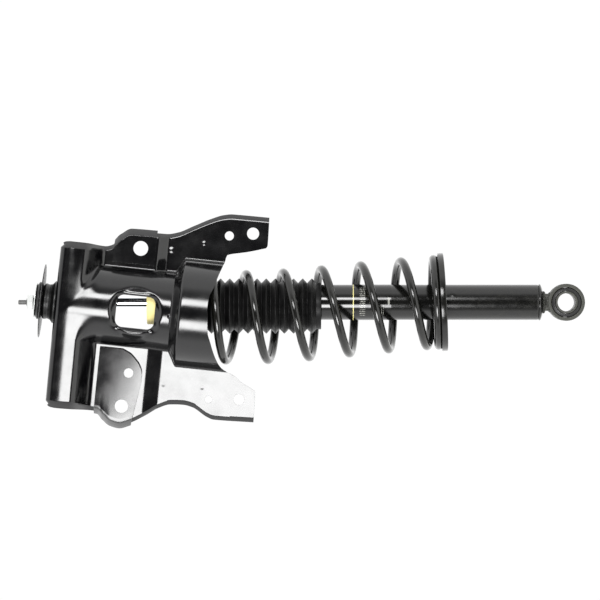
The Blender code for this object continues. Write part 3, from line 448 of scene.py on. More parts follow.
def hard_chrome(name):
    """Ground and chromed rod: mirror finish with rings too fine to see singly, drawn at 0.4 mm."""
    base = tuple(settings("finish").chrome)
    made, tree, shader, where = new_finish(name, base, 0.06, 1.0)
    rings = add_node(tree, "ShaderNodeTexWave",
                     {"Vector": where, "Scale": 2500 / math.tau, "Distortion": 1.0},
                     bands_direction="Z").outputs["Fac"]
    tree.links.new(spread(tree, noise(tree, where, 8, 3), 0.04, 0.10), shader.inputs["Roughness"])
    relief(tree, shader, [(rings, 0.0004)])
    return made


def drawn_steel(name):
    """Bare drawn tube and machined steel: mid grey metal, streaked along the axis, oily."""
    made, tree, shader, where = new_finish(name, linear("#4C4C4A"), 0.35, 1.0)
    long = add_node(tree, "ShaderNodeMapping", {"Vector": where, "Scale": (1, 1, 0.04)}).outputs["Vector"]
    streak = noise(tree, long, 0.8, 3)
    tone = blend_colours(tree, streak, linear("#3A3A39"), linear("#5E5E5C"))
    tree.links.new(tone, shader.inputs["Base Color"])
    tree.links.new(spread(tree, streak, 0.25, 0.45), shader.inputs["Roughness"])
    relief(tree, shader, [(streak, 0.01)], 0.3)
    return made


def phosphate_coat(name):
    """Zinc phosphate on a rolled thread: matt, crystalline dark grey with an oily patch here and there."""
    made, tree, shader, where = new_finish(name, linear("#3B3B39"), 0.6, ior=1.6)
    crystals = noise(tree, where, 0.6, 3, 0.7)
    oil = spread(tree, noise(tree, where, 4, 2), 0.62, 0.38)
    tree.links.new(blend_colours(tree, crystals, linear("#2C2C2B"), linear("#4B4B49")),
                   shader.inputs["Base Color"])
    tree.links.new(oil, shader.inputs["Roughness"])
    relief(tree, shader, [(crystals, 0.02)], 0.2)
    return made


def dusty_paint(name):
    """Black paint over a forged eye, dulled by handling: grey-olive film, thin where edges rub."""
    base = linear("#20211B")
    made, tree, shader, where = new_finish(name, base, 0.46, ior=1.5)
    grime = spread(tree, noise(tree, where, 7, 5, 0.65), 0.0, 1.0, 0.35, 0.75)
    film = blend_colours(tree, grime, wear(tree, base, linear("#3A3A33"), 0.8), linear("#2D2E27"))
    tree.links.new(film, shader.inputs["Base Color"])
    tree.links.new(spread(tree, noise(tree, where, 5, 3), 0.38, 0.54), shader.inputs["Roughness"])
    relief(tree, shader, [(noise(tree, where, 1.4, 3), 0.012)], 0.6)
    return made


def sintered_iron(name):
    """Pressed iron powder: dull dark grey with pores, drawn at 0.6 mm so that they show."""
    made, tree, shader, where = new_finish(name, linear("#5A5A58"), 0.55, 0.9)
    pores = add_node(tree, "ShaderNodeTexVoronoi", {"Vector": where, "Scale": 1000 / 0.6}).outputs["Distance"]
    tone = blend_colours(tree, pores, linear("#3E3E3C"), linear("#6A6A66"))
    tree.links.new(tone, shader.inputs["Base Color"])
    relief(tree, shader, [(pores, 0.04)], 0.3)
    return made


def urethane_foam(name):
    """Microcellular urethane: pale straw, skinned, with cells about half a millimetre across."""
    base = tuple(settings("finish").foam)
    made, tree, shader, where = new_finish(name, base, 0.75, ior=1.45)
    cells = add_node(tree, "ShaderNodeTexVoronoi", {"Vector": where, "Scale": 1000 / 0.8}).outputs["Distance"]
    stain = noise(tree, where, 9, 4, 0.6)
    tone = blend_colours(tree, spread(tree, stain, 0.0, 1.0, 0.4, 0.75), base, linear("#C9B36C"))
    tree.links.new(tone, shader.inputs["Base Color"])
    shader.inputs["Subsurface Weight"].default_value = 0.1
    shader.inputs["Subsurface Radius"].default_value = (0.002, 0.0015, 0.0008)
    relief(tree, shader, [(cells, 0.08)])
    return made


def uneven_ink(tree, where):
    """Uneven ink, so that the small print doesn't read as even bars."""
    return spread(tree, noise(tree, where, 1.6, 2), 0.15, 1.0, 0.42, 0.58)


def printed_label(name):
    """Gloss black foil label: straw line along its ends, blocks of pale print as plain bars."""
    made, tree, shader, where = new_finish(name, linear("#0A0A09"), 0.14, ior=1.5)
    damper = settings("damper")
    at = add_node(tree, "ShaderNodeSeparateXYZ", {"Vector": where}).outputs
    down = add_node(tree, "ShaderNodeMath", {0: at["Z"], 1: damper.label_top}, operation="ADD").outputs[0]

    def band(value, low, high):
        above = add_node(tree, "ShaderNodeMath", {0: value, 1: low}, operation="GREATER_THAN").outputs[0]
        below = add_node(tree, "ShaderNodeMath", {0: value, 1: high}, operation="LESS_THAN").outputs[0]
        return add_node(tree, "ShaderNodeMath", {0: above, 1: below}, operation="MULTIPLY").outputs[0]

    def both(one, other):
        return add_node(tree, "ShaderNodeMath", {0: one, 1: other}, operation="MULTIPLY").outputs[0]

    line = band(down, -0.0020, -0.0010)
    bars = add_node(tree, "ShaderNodeTexWave", {"Vector": where, "Scale": 1000 / 2.6 / math.tau * 2},
                    bands_direction="X").outputs["Fac"]
    ticks = both(band(down, -0.0165, -0.0095), band(at["X"], -0.017, 0.019))
    inked = add_node(tree, "ShaderNodeMath", {0: bars, 1: 0.55}, operation="GREATER_THAN").outputs[0]
    ticks = both(ticks, inked)
    ticks = both(ticks, uneven_ink(tree, where))
    block = both(band(down, -0.0475, -0.0453), band(at["X"], -0.003, 0.006))
    rules = both(band(down, -0.0400, -0.0318), band(at["X"], -0.016, -0.004))
    lines = add_node(tree, "ShaderNodeTexWave", {"Vector": where, "Scale": 1000 / 2.4 / math.tau * 2},
                     bands_direction="Z").outputs["Fac"]
    inked = add_node(tree, "ShaderNodeMath", {0: lines, 1: 0.7}, operation="GREATER_THAN").outputs[0]
    rules = both(rules, inked)
    print_area = sums(tree, [ticks, block, both(rules, uneven_ink(tree, where))])
    tone = blend_colours(tree, print_area, linear("#0A0A09"), linear("#8F8F89"))
    tone = blend_colours(tree, line, tone, tuple(settings("finish").label))
    tree.links.new(tone, shader.inputs["Base Color"])
    tree.links.new(spread(tree, noise(tree, where, 6, 3), 0.11, 0.18), shader.inputs["Roughness"])
    return made


def studio_floor(name):
    """Matt painted board, nearly white, with a barely seen mottle."""
    made, tree, shader, where = new_finish(name, linear("#F4F4F2"), 0.9)
    tone = blend_colours(tree, noise(tree, where, 300, 2), linear("#EFEFED"), linear("#F7F7F5"))
    tree.links.new(tone, shader.inputs["Base Color"])
    return made


FINISHES = {
    "gloss_ecoat": gloss_ecoat, "satin_paint": satin_paint, "gloss_tube_paint": gloss_tube_paint,
    "spring_coat": spring_coat, "moulded_rubber": moulded_rubber, "bellows_rubber": bellows_rubber,
    "zinc_plate": zinc_plate, "hard_chrome": hard_chrome, "drawn_steel": drawn_steel,
    "sintered_iron": sintered_iron, "urethane_foam": urethane_foam, "printed_label": printed_label,
    "phosphate_coat": phosphate_coat, "dusty_paint": dusty_paint,
    "studio_floor": studio_floor,
}

# finish of every record slot, for the CAD nodes that stay
SLOT_FINISH = {
    "black_ecoat": "gloss_ecoat", "black_paint": "satin_paint", "spring_coating": "spring_coat",
    "black_rubber": "moulded_rubber", "chromed_steel": "hard_chrome", "zinc_plate": "zinc_plate",
    "bare_steel": "drawn_steel", "sintered_iron": "sintered_iron", "urethane_foam": "urethane_foam",
}


# ---- shaping tools ----------------------------------------------------------------------------------------
def smooth_step(value, start, end):
    t = min(1, max(0, (value - start) / (end - start)))
    return t * t * (3 - 2 * t)


def ramp(value, start, end):
    return min(1, max(0, (value - start) / (end - start)))


def smooth_curve(points, value):
    """Height at value of a curve through points that never overshoots them."""
    pts = sorted(points)
    if value <= pts[0][0]:
        return pts[0][1]
    if value >= pts[-1][0]:
        return pts[-1][1]
    rise = [(b[1] - a[1]) / (b[0] - a[0]) for a, b in zip(pts, pts[1:])]
    slope = [rise[0]]
    for before, after in zip(rise, rise[1:]):
        slope.append(0 if before * after <= 0 else 2 * before * after / (before + after))
    slope.append(rise[-1])
    k = max(i for i in range(len(pts) - 1) if pts[i][0] <= value)
    width = pts[k + 1][0] - pts[k][0]
    t = (value - pts[k][0]) / width
    return ((2 * t**3 - 3 * t**2 + 1) * pts[k][1] + (t**3 - 2 * t**2 + t) * width * slope[k]
            + (3 * t**2 - 2 * t**3) * pts[k + 1][1] + (t**3 - t**2) * width * slope[k + 1])


def rounded(points, radius, cuts=4, closed=True):
    """A profile with its corners rounded; a point on the axis, or the end of an open one, stays sharp."""
    made = []
    count = len(points)
    for k, point in enumerate(points):
        corner = Vector(point)
        before, after = Vector(points[k - 1]), Vector(points[(k + 1) % count])
        at_end = not closed and k in (0, count - 1)
        if corner.x < 1e-6 or at_end:
            made.append(tuple(corner))
            continue
        reach = min(radius, 0.45 * (before - corner).length, 0.45 * (after - corner).length)
        start = corner + (before - corner).normalized() * reach
        end = corner + (after - corner).normalized() * reach
        for step in range(cuts + 1):
            t = step / cuts
            made.append(tuple((1 - t) ** 2 * start + 2 * t * (1 - t) * corner + t * t * end))
    return made


def turned(profile, steps=96):
    """Profile (r, z) turned about Z; it closes on itself unless it reaches the axis."""
    work = bmesh.new()
    verts = [work.verts.new((r, 0, z)) for r, z in profile]
    ring = all(r > 1e-6 for r, _ in profile)
    pairs = zip(verts, verts[1:] + verts[:1]) if ring else zip(verts, verts[1:])
    edges = [work.edges.new(pair) for pair in pairs]
    bmesh.ops.spin(work, geom=verts + edges, cent=(0, 0, 0), axis=(0, 0, 1), angle=math.tau, steps=steps,
                   use_merge=True)
    bmesh.ops.remove_doubles(work, verts=work.verts, dist=1e-6)
    return work


def as_object(name, work):
    mesh = bpy.data.meshes.new(name)
    work.to_mesh(mesh)
    work.free()
    obj = bpy.data.objects.new(name, mesh)
    bpy.context.scene.collection.objects.link(obj)
    return obj


def finish_piece(name, work, finish_name, body, nodes=(), place=None, sharp=38):
    """Makes a bmesh a piece in the row frame, smooth but for its sharp edges, riding on its body."""
    if place is not None:
        bmesh.ops.transform(work, matrix=place, verts=work.verts)
    bmesh.ops.recalc_face_normals(work, faces=work.faces)
    obj = as_object(name, work)
    obj.data.shade_smooth()
    obj.data.set_sharp_from_angle(angle=math.radians(sharp))
    obj.data.materials.append(finish(finish_name))
    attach(obj, body)
    if nodes:
        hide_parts(*nodes)
    return obj


def prism(outline, low, high):
    """A bmesh prism: outline of (x, z) points, from y = low to y = high."""
    work = bmesh.new()
    face = work.faces.new([work.verts.new((x, low, z)) for x, z in outline])
    pulled = bmesh.ops.extrude_face_region(work, geom=[face])
    moved = [v for v in pulled["geom"] if isinstance(v, bmesh.types.BMVert)]
    bmesh.ops.translate(work, verts=moved, vec=(0, high - low, 0))
    bmesh.ops.recalc_face_normals(work, faces=work.faces)
    return work


def round_outline(x, z, radius, steps=48):
    return [(x + radius * math.cos(math.tau * k / steps), z + radius * math.sin(math.tau * k / steps))
            for k in range(steps)]


def rounded_box(width, height, radius, x=0, z=0, cuts=10):
    points = []
    for corner, (sx, sz) in enumerate([(1, 1), (-1, 1), (-1, -1), (1, -1)]):
        for k in range(cuts + 1):
            turn = math.radians(90) * (corner + k / cuts)
            points.append((x + sx * (width / 2 - radius) + radius * math.cos(turn),
                           z + sz * (height / 2 - radius) + radius * math.sin(turn)))
    return points


def fair_line(points, cuts=6):
    """A smooth line through points, each stretch in cuts."""
    made = []
    for k in range(len(points) - 1):
        p0, p1 = Vector(points[max(0, k - 1)]), Vector(points[k])
        p2, p3 = Vector(points[k + 1]), Vector(points[min(len(points) - 1, k + 2)])
        for step in range(cuts):
            t = step / cuts
            made.append(tuple(0.5 * (2 * p1 + (p2 - p0) * t + (2 * p0 - 5 * p1 + 4 * p2 - p3) * t * t
                                     + (3 * p1 - p0 - 3 * p2 + p3) * t ** 3)))
    return made + [tuple(points[-1])]


def pierce(obj, cutters):
    """Takes the cutters' bmeshes out of obj, one after another, and keeps the result in its mesh."""
    for work in cutters:
        tool = as_object(f"{obj.name}_tool", work)
        step = obj.modifiers.new("pierce", "BOOLEAN")
        step.operation = "DIFFERENCE"
        step.object = tool
        step.solver = "MANIFOLD"
        graph = bpy.context.evaluated_depsgraph_get()
        mesh = bpy.data.meshes.new_from_object(obj.evaluated_get(graph))
        obj.modifiers.remove(step)
        obj.data = mesh
        bpy.data.objects.remove(tool)


# ---- bracket --------------------------------------------------------------------------------------------
def foot_fillet(radius, height, tilt, side):
    """Centre and turning angles of the fillet between the bulge and the sheet beside it."""
    lean = math.atan(tilt)
    normal = Vector((side * math.sin(lean), -math.cos(lean)))
    along = Vector((side * math.cos(lean), math.sin(lean)))
    rise = height * math.cos(lean) + radius * math.sin(lean) + FOOT_R
    reach = math.sqrt((radius + FOOT_R) ** 2 - rise ** 2)
    centre = normal * rise + along * reach
    return centre, -normal, -centre.normalized()


def bulge_section(z, cuts):
    """Outer face of the sheet across the bracket at height z, (x, y), in cuts (plane, fillet, arc)."""
    plane_cuts, fillet_cuts, arc_cuts = cuts
    bracket = settings("bracket")
    radius = bracket.tower + (bracket.flare - bracket.tower) * ramp(z, *SHOULDER)
    up_y = EAR_Y + (ARM_Y - EAR_Y) * ramp(z, *JOGGLE_UP)
    low_arm_y = ARM_Y - LOWER_TILT * (bracket.flare - radius)
    low_y = EAR_Y + (low_arm_y - EAR_Y) * ramp(z, *JOGGLE_LOW)
    up_centre, up_foot, up_crest = foot_fillet(radius, -up_y, 0, 1)
    low_centre, low_foot, low_crest = foot_fillet(radius, -low_y, LOWER_TILT, -1)
    up_edge = smooth_curve(EDGE_UP, z) - bend_at(z)
    low_edge = smooth_curve(EDGE_LOW, z) + bend_at(z)
    start = up_centre + up_foot * FOOT_R
    points = []
    for k in range(plane_cuts):
        x = up_edge + (start.x + BULGE_X - up_edge) * k / plane_cuts
        points.append((x, start.y))
    for k in range(fillet_cuts):
        spoke = up_foot.lerp(up_crest, k / fillet_cuts).normalized()
        points.append((BULGE_X + up_centre.x + spoke.x * FOOT_R, up_centre.y + spoke.y * FOOT_R))
    first = math.atan2(up_centre.y, up_centre.x)
    last = math.atan2(-low_centre.y, -low_centre.x) - math.pi
    for k in range(arc_cuts + 1):
        turn = first + (last - first) * k / arc_cuts
        points.append((BULGE_X + radius * math.cos(turn), radius * math.sin(turn)))
    for k in range(1, fillet_cuts + 1):
        spoke = low_crest.lerp(low_foot, k / fillet_cuts).normalized()
        points.append((BULGE_X + low_centre.x + spoke.x * FOOT_R, low_centre.y + spoke.y * FOOT_R))
    end = low_centre + low_foot * FOOT_R
    end_x = end.x + BULGE_X
    low_cuts = round(plane_cuts * 1.7)
    for k in range(1, low_cuts + 1):
        x = end_x + (low_edge - end_x) * k / low_cuts
        points.append((x, end.y + LOWER_TILT * (end_x - x)))
    return points


def channel_height(x, z):
    """The roof rolls over the rod on an arc and runs off straight from it on both sides."""
    radius = settings("bracket").channel
    gain, near, far = CHANNEL_TWIST
    fall = CHANNEL_FALL[0] if x < BULGE_X else CHANNEL_FALL[1] + gain * smooth_step(-z, near, far)
    aside = abs(x - BULGE_X)
    if aside < radius * math.sin(fall):
        return math.sqrt(radius ** 2 - aside ** 2)
    return radius / math.cos(fall) - aside * math.tan(fall)


def bend_at(z):
    bracket = settings("bracket")
    return bracket.crown_bend + (bracket.bend - bracket.crown_bend) * smooth_step(-z, *WIDE_BEND)


def window_depth(x, y, z):
    """The section's y with the flat round the window and the rim turned in at the opening."""
    cx, cz, width, height, radius = WINDOW
    far = math.hypot(x - cx, z - cz)
    share = 1 - smooth_step(far, *PAD_R)
    flat = PAD_Y + 0.55 * max(0, abs(x - cx) - 0.024)
    y = y + (flat - y) * share
    dx = max(0, abs(x - cx) - (width / 2 - radius))
    dz = max(0, abs(z - cz) - (height / 2 - radius))
    outside = max(0, math.hypot(dx, dz) - radius)
    upper_wide, upper_deep, lower_wide, lower_deep = RIM
    low = smooth_step(cx - x, 0.004, 0.022)
    wide = upper_wide + (lower_wide - upper_wide) * low
    deep = upper_deep + (lower_deep - upper_deep) * low
    return y + deep * max(0, 1 - outside / wide) ** 2


def pressed_depth(x, y, z):
    """The section's y after the window's flat, the pocket and the cross channel are pressed."""
    y = window_depth(x, y, z)
    x1, z1, x2, z2 = POCKET
    run = math.hypot(x2 - x1, z2 - z1)
    inside = ((x - x1) * (z1 - z2) + (z - z1) * (x2 - x1)) / run
    if inside > 0 and z > z2 - 0.010:
        y = max(y, min(EAR_Y, -settings("bracket").channel + 3 * inside))
    fall, start = CHANNEL_CROWN
    raised = min(y, -channel_height(x, z)) + fall * max(0, 1 + z / start) ** 2
    share = 1 - smooth_step(z, *CHANNEL_WALL)
    return y + (raised - y) * share


def crown_depth(x, y):
    share = 1 - smooth_step(abs(x), *CROWN_TAPER)
    return LIP + (CROWN_BACK - (y + bend_at(0) + LIP)) * share


def edge_points(row_y, up, low, lip_cuts):
    """A row with its turned edges and lips: (x, y, edge angle, depth of lip 0..1)."""
    (up_x, up_y), (low_x, low_y) = up, low
    before, after = [], []
    for k in range(lip_cuts, 0, -1):
        before.append((up_x, up_y, math.pi / 2, k / lip_cuts))
        after.append((low_x, low_y, -math.pi / 2, k / lip_cuts))
    for turn in map(math.radians, reversed(BEND_TURNS)):
        before.append((up_x, up_y, turn, 0.0))
        after.append((low_x, low_y, -turn, 0.0))
    return before + row_y + after[::-1]


def sheet_row(z, cuts, crown=0.0, depth=0.0):
    """One row of the sheet's outer face: crown is the angle over the top bend, depth goes back from it."""
    bend = bend_at(z)
    middle = [(x, pressed_depth(x, y, z), 0.0, 0.0) for x, y in bulge_section(z, cuts)]
    row = []
    for x, y, edge, back in edge_points(middle, middle[0][:2], middle[-1][:2], 2):
        if crown and back:
            row.append(None)
            continue
        out = Vector((math.sin(edge), -math.cos(edge) * math.cos(crown), math.sin(crown))).normalized()
        out *= min(1, BEND_FLAT / (abs(math.sin(edge)) + math.cos(edge)))
        behind = depth * crown_depth(x, y) + back * LIP
        base_z = -bend if crown else z
        row.append((x + bend * out.x, y + bend + bend * out.y + behind, base_z + bend * out.z))
    return row


def sheet_grid(rows, thickness, relax=2):
    """A closed sheet whose outer face passes through rows of points; a None leaves a gap."""
    wide = len(rows[0])
    work = bmesh.new()
    bmesh.ops.create_grid(work, x_segments=wide - 1, y_segments=len(rows) - 1, size=1)
    work.verts.ensure_lookup_table()
    unused = []
    for vert, point in zip(list(work.verts), [p for row in rows for p in row]):
        if point is None:
            unused.append(vert)
        else:
            vert.co = point
    bmesh.ops.delete(work, geom=unused, context="VERTS")
    bmesh.ops.remove_doubles(work, verts=work.verts, dist=0.00005)
    for _ in range(relax):
        bmesh.ops.smooth_vert(work, verts=[v for v in work.verts if not v.is_boundary], factor=0.5,
                              use_axis_x=False, use_axis_y=True, use_axis_z=False)
    bmesh.ops.recalc_face_normals(work, faces=work.faces)
    work.normal_update()
    if sum(f.normal.y * f.calc_area() for f in work.faces) > 0:
        bmesh.ops.reverse_faces(work, faces=work.faces)
    work.normal_update()
    bmesh.ops.solidify(work, geom=work.faces[:], thickness=thickness)
    work.normal_update()
    if work.calc_volume(signed=True) < 0:
        bmesh.ops.reverse_faces(work, faces=work.faces)
    return work


def settle_piece(obj, finish_name, body, node, place, sharp=38):
    """Finishes a piece whose mesh was pierced as an object."""
    work = bmesh.new()
    work.from_mesh(obj.data)
    name = obj.name
    bpy.data.objects.remove(obj)
    bmesh.ops.remove_doubles(work, verts=work.verts, dist=1e-6)
    return finish_piece(name, work, finish_name, body, [node], place, sharp)


class STRUT_OT_bracket(bpy.types.Operator):
    """Presses the bracket's sheet: tower, flare, cross channel, ears and arms"""
    bl_idname = "strut.bracket"
    bl_label = "Bracket Sheet"

    def execute(self, context):
        bracket = settings("bracket")
        step = bracket.mesh_step
        cuts = (round(0.050 / step), 5, round(0.125 / step))
        crown_cuts, bend_cuts = 14, 7
        top = -bend_at(0)
        rows = [sheet_row(top, cuts, math.pi / 2, 1 - k / crown_cuts) for k in range(crown_cuts)]
        rows += [sheet_row(top, cuts, math.pi / 2 * k / bend_cuts) for k in range(bend_cuts, 0, -1)]
        count = round((top - SHEET_END) / step)
        heights = [top + (SHEET_END - top) * k / count for k in range(count + 1)]
        rows += [sheet_row(z, cuts) for z in heights]
        shell = as_object("bracket_sheet", sheet_grid(rows, bracket.sheet))
        reach = 0.200
        mouth = [(reach, MOUTH[0][1]), *fair_line(MOUTH), (-reach, MOUTH[-1][1]), (-reach, SHEET_END - 0.02),
                 (reach, SHEET_END - 0.02)]
        x, z, width, height, radius = WINDOW
        tools = [prism(mouth, -0.120, 0.100),
                 prism(rounded_box(width, height, radius, x, z), -0.070, -0.020)]
        tools += [prism(round_outline(x, z, r), -0.04, 0.05) for x, z, r in SHEET_HOLES]
        crown = turned([(0, -0.02), (CROWN_HOLE_R, -0.02), (CROWN_HOLE_R, 0.02), (0, 0.02)], 48)
        bmesh.ops.recalc_face_normals(crown, faces=crown.faces)
        pierce(shell, [*tools, crown])
        settle_piece(shell, "gloss_ecoat", "bracket", "tower_shell", TO_ROW)
        return {"FINISHED"}


def ear_rows(shape, side, swell):
    """Rows of an ear plate's outer face, its outer edge turned back over the sheet's."""
    bracket = settings("bracket")
    top, foot, inner_x = shape
    off = bracket.sheet + GAP
    slope = 0 if side > 0 else LOWER_TILT
    outline = EDGE_UP if side > 0 else EDGE_LOW
    count = round((top - foot) / bracket.mesh_step)
    rows = []
    for k in range(count + 1):
        z = top + (foot - top) * k / count
        section = bulge_section(z, (4, 2, 4))
        edge_x, edge_y = section[0] if side > 0 else section[-1]
        front = edge_y - off
        slant = (smooth_curve(outline, z + 0.001) - smooth_curve(outline, z - 0.001)) / 0.002
        bend = bend_at(z) + off
        reach = bend_at(z) + off * math.hypot(1, slant)
        along = 1 - 0.45 * (k / count) ** 2
        row = []
        across = 40
        for step in range(across):
            share = step / across
            x = inner_x + (edge_x - inner_x) * share
            lift = swell * along * share
            row.append((x, front - slope * (x - edge_x) - off * slope * slope - lift, z))
        for turn in map(math.radians, (0, *BEND_TURNS)):
            cut = min(1, BEND_FLAT / (math.sin(turn) + math.cos(turn)))
            fall = (bend + swell * along) * (1 - cut * math.cos(turn)) - swell * along
            row.append((edge_x + side * reach * cut * math.sin(turn), front + fall, z))
        rows.append(row)
    return rows


class STRUT_OT_ears(bpy.types.Operator):
    """Lays the two doubler plates on the bracket's ears"""
    bl_idname = "strut.ears"
    bl_label = "Ear Plates"

    def execute(self, context):
        sheet = settings("bracket").sheet
        upper = as_object("upper_ear", sheet_grid(ear_rows(UPPER_EAR, 1, 0.0008), sheet, 0))
        pierce(upper, [prism(round_outline(*hole), -0.05, 0.06) for hole in UPPER_EAR_HOLES])
        settle_piece(upper, "gloss_ecoat", "bracket", "upper_ear_plate", TO_ROW)
        lower = as_object("lower_ear", sheet_grid(ear_rows(LOWER_EAR, -1, 0.0128), sheet, 0))
        line = fair_line(LOWER_EAR_TRIM)
        trim = [*line, (-0.160, -0.160), (-0.030, -0.160), (-0.030, -0.076)]
        pierce(lower, [prism(trim, -0.06, 0.06),
                       *[prism(round_outline(*hole), -0.05, 0.06) for hole in LOWER_EAR_HOLES]])
        settle_piece(lower, "gloss_ecoat", "bracket", "lower_ear_plate", TO_ROW)
        return {"FINISHED"}


class STRUT_OT_mount(bpy.types.Operator):
    """Stacks the mount's rubbers, splash washer and cup on the crown"""
    bl_idname = "strut.mount"
    bl_label = "Top Mount"

    def execute(self, context):
        bracket = settings("bracket")
        bush = bracket.bush
        low = rounded([(BUSH_BORE, BUSH_TOP), (bush - 0.003, BUSH_TOP), (bush, BUSH_TOP - 0.003),
                       (bush - 0.0012, 0.010), (bush, 0.006), (bush + 0.004, 0.003), (bush + 0.004, GAP),
                       (0.0136, GAP), (0.0136, -0.003), (BUSH_BORE, -0.003)], 0.0009)
        finish_piece("mount_bush", turned(low), "moulded_rubber", "bracket", ["upper_bush"],
                     TO_ROW)
        face = BUSH_TOP + GAP
        plate = rounded([(BUSH_BORE, face), (BUSH_BORE, SHIELD_TOP), (bracket.shield - 0.006, SHIELD_TOP),
                         (bracket.shield, SHIELD_TOP - 0.0006), (bracket.shield, face)], 0.0003)
        finish_piece("splash_washer", turned(plate, 128), "moulded_rubber", "bracket", ["dust_shield"],
                     TO_ROW)
        base = SHIELD_TOP + GAP
        top = rounded([(BUSH_BORE, base), (bush, base), (bush + 0.001, base + 0.0033),
                       (bush - 0.0035, TOP_BUSH_TOP), (BUSH_BORE, TOP_BUSH_TOP)], 0.0010)
        finish_piece("mount_top_bush", turned(top), "moulded_rubber", "bracket", ["top_bush"],
                     TO_ROW)
        stud = settings("damper").stud + GAP
        low_z = TOP_BUSH_TOP + GAP
        cup = rounded([(stud, low_z), (stud, CUP_TOP), (bush - 0.0045, CUP_TOP),
                       (bush - 0.0015, CUP_TOP - 0.0008),
                       (bush - 0.0015, low_z)], 0.0004)
        finish_piece("mount_cup", turned(cup), "zinc_plate", "bracket", ["upper_cup_washer"],
                     TO_ROW)
        return {"FINISHED"}


def threads(radius, pitch, top, foot):
    """Profile points of a thread from top to foot, crests at radius."""
    depth = 0.61 * pitch
    points = []
    count = int((top - foot) / pitch)
    for k in range(count):
        z = top - k * pitch
        points += [(radius - depth, z), (radius, z - 0.45 * pitch), (radius, z - 0.55 * pitch)]
    return points


class STRUT_OT_rod(bpy.types.Operator):
    """Turns the rod with its threaded stud, and the nut on it"""
    bl_idname = "strut.rod"
    bl_label = "Rod and Nut"

    def execute(self, context):
        damper = settings("damper")
        lo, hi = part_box("piston_rod")
        heights = {round(v.co.z, 5) for v in frame["nodes"]["piston_rod"].data.vertices}
        shoulder = max(z for z in heights if z < 0)
        end_r = 0.005
        end_top = lo.z + 0.003 + 0.0077 + 0.018 + 2 * GAP
        profile = [(0, hi.z), (0.0023, hi.z), (0.0029, hi.z - 0.0008), (0.0029, 0.0382),
                   (damper.stud - 0.0009, 0.0375)]
        profile += threads(damper.stud, damper.thread, 0.0368, 0.016)
        profile += [(damper.stud, 0.014), (damper.stud, shoulder), (0, shoulder)]
        finish_piece("rod_stud", turned(profile, 64), "phosphate_coat", "bracket", ["piston_rod"],
                     sharp=30)
        shaft = [(0, shoulder), (damper.rod - 0.0006, shoulder), (damper.rod, shoulder - 0.0006),
                 (damper.rod, end_top), (end_r, end_top), (end_r, lo.z), (0, lo.z)]
        finish_piece("rod_shaft", turned(shaft, 64), "hard_chrome", "bracket", ["piston_rod"],
                     sharp=30)
        low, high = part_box("rod_nut")
        tall = high.z - low.z
        corner = damper.nut / math.sqrt(3)
        work = bmesh.new()
        bmesh.ops.create_cone(work, cap_ends=True, cap_tris=False, segments=6, depth=tall,
                              radius1=corner, radius2=corner)
        caps = [f for f in work.faces if len(f.verts) == 6]
        for face in caps:
            bmesh.ops.inset_individual(work, faces=[face], thickness=0.0012, depth=0.0)
        rims = [e for e in work.edges if all(abs(v.co.z) > tall / 2 - 1e-5 for v in e.verts)
                and e.verts[0].co.z * e.verts[1].co.z > 0
                and min(v.co.xy.length for v in e.verts) > corner - 1e-4]
        bmesh.ops.bevel(work, geom=rims, offset=0.0010, offset_type="OFFSET", segments=3, profile=0.5,
                        affect="EDGES", material=-1)
        bmesh.ops.translate(work, verts=work.verts, vec=(0, 0, (high.z + low.z) / 2))
        nut = as_object("nut", work)
        bore = turned([(0, low.z - 0.01), (damper.stud + GAP, low.z - 0.01),
                       (damper.stud + GAP, high.z + 0.01), (0, high.z + 0.01)], 48)
        bmesh.ops.recalc_face_normals(bore, faces=bore.faces)
        pierce(nut, [bore])
        settle_piece(nut, "zinc_plate", "bracket", "rod_nut", None, 25)
        return {"FINISHED"}


class STRUT_OT_tube(bpy.types.Operator):
    """Turns the reserve tube with its rolled top and the pressed mark on it, and its base cap"""
    bl_idname = "strut.tube"
    bl_label = "Damper Tube"

    def execute(self, context):
        damper = settings("damper")
        tube = damper.tube
        inner = tube - TUBE_WALL
        split = SPRING_LOW - 0.010
        top = TUBE_TOP - 0.0022
        upper = rounded([(tube - 0.001, TUBE_TOP), (tube, TUBE_TOP - 0.001), (tube, split), (inner, split),
                         (inner, top), (0.012, top), (0.012, TUBE_TOP)], 0.0006)
        finish_piece("tube_upper", turned(upper), "gloss_tube_paint", "damper_body", ["reserve_tube"])
        lower = turned(rounded([(tube, split), (tube, TUBE_BOTTOM + 0.0015), (tube - 0.0004, TUBE_BOTTOM),
                                (inner, TUBE_BOTTOM), (inner, split)], 0.0004))
        for z in (-0.497, -0.500, -0.502, -0.504, -0.506, -0.508, -0.511):
            bmesh.ops.bisect_plane(lower, geom=lower.verts[:] + lower.edges[:] + lower.faces[:],
                                   plane_co=(0, 0, z), plane_no=(0, 0, 1))
        for vert in lower.verts:
            if vert.co.y < 0 and vert.co.xy.length > tube - 0.0002:
                far = math.hypot((vert.co.x - 0.0116) / 0.0042, (vert.co.z + 0.504) / 0.0030)
                vert.co.xy *= 1 + 0.0006 / tube * (1 - smooth_step(far, 0.3, 1.2))
        finish_piece("tube_lower", lower, "satin_paint", "damper_body", ["reserve_tube"])
        lip = TUBE_BOTTOM - GAP
        cap = rounded([(0, TUBE_BOTTOM + 0.0118), (inner - GAP, TUBE_BOTTOM + 0.0118), (inner - GAP, lip),
                       (tube + 0.0006, lip), (tube + 0.0006, lip - 0.0022), (0.018, lip - 0.0046),
                       (0.012, lip - CAP_DROP), (0, lip - CAP_DROP)], 0.0012)
        finish_piece("tube_base", turned(cap), "satin_paint", "damper_body", ["base_cap"])
        return {"FINISHED"}


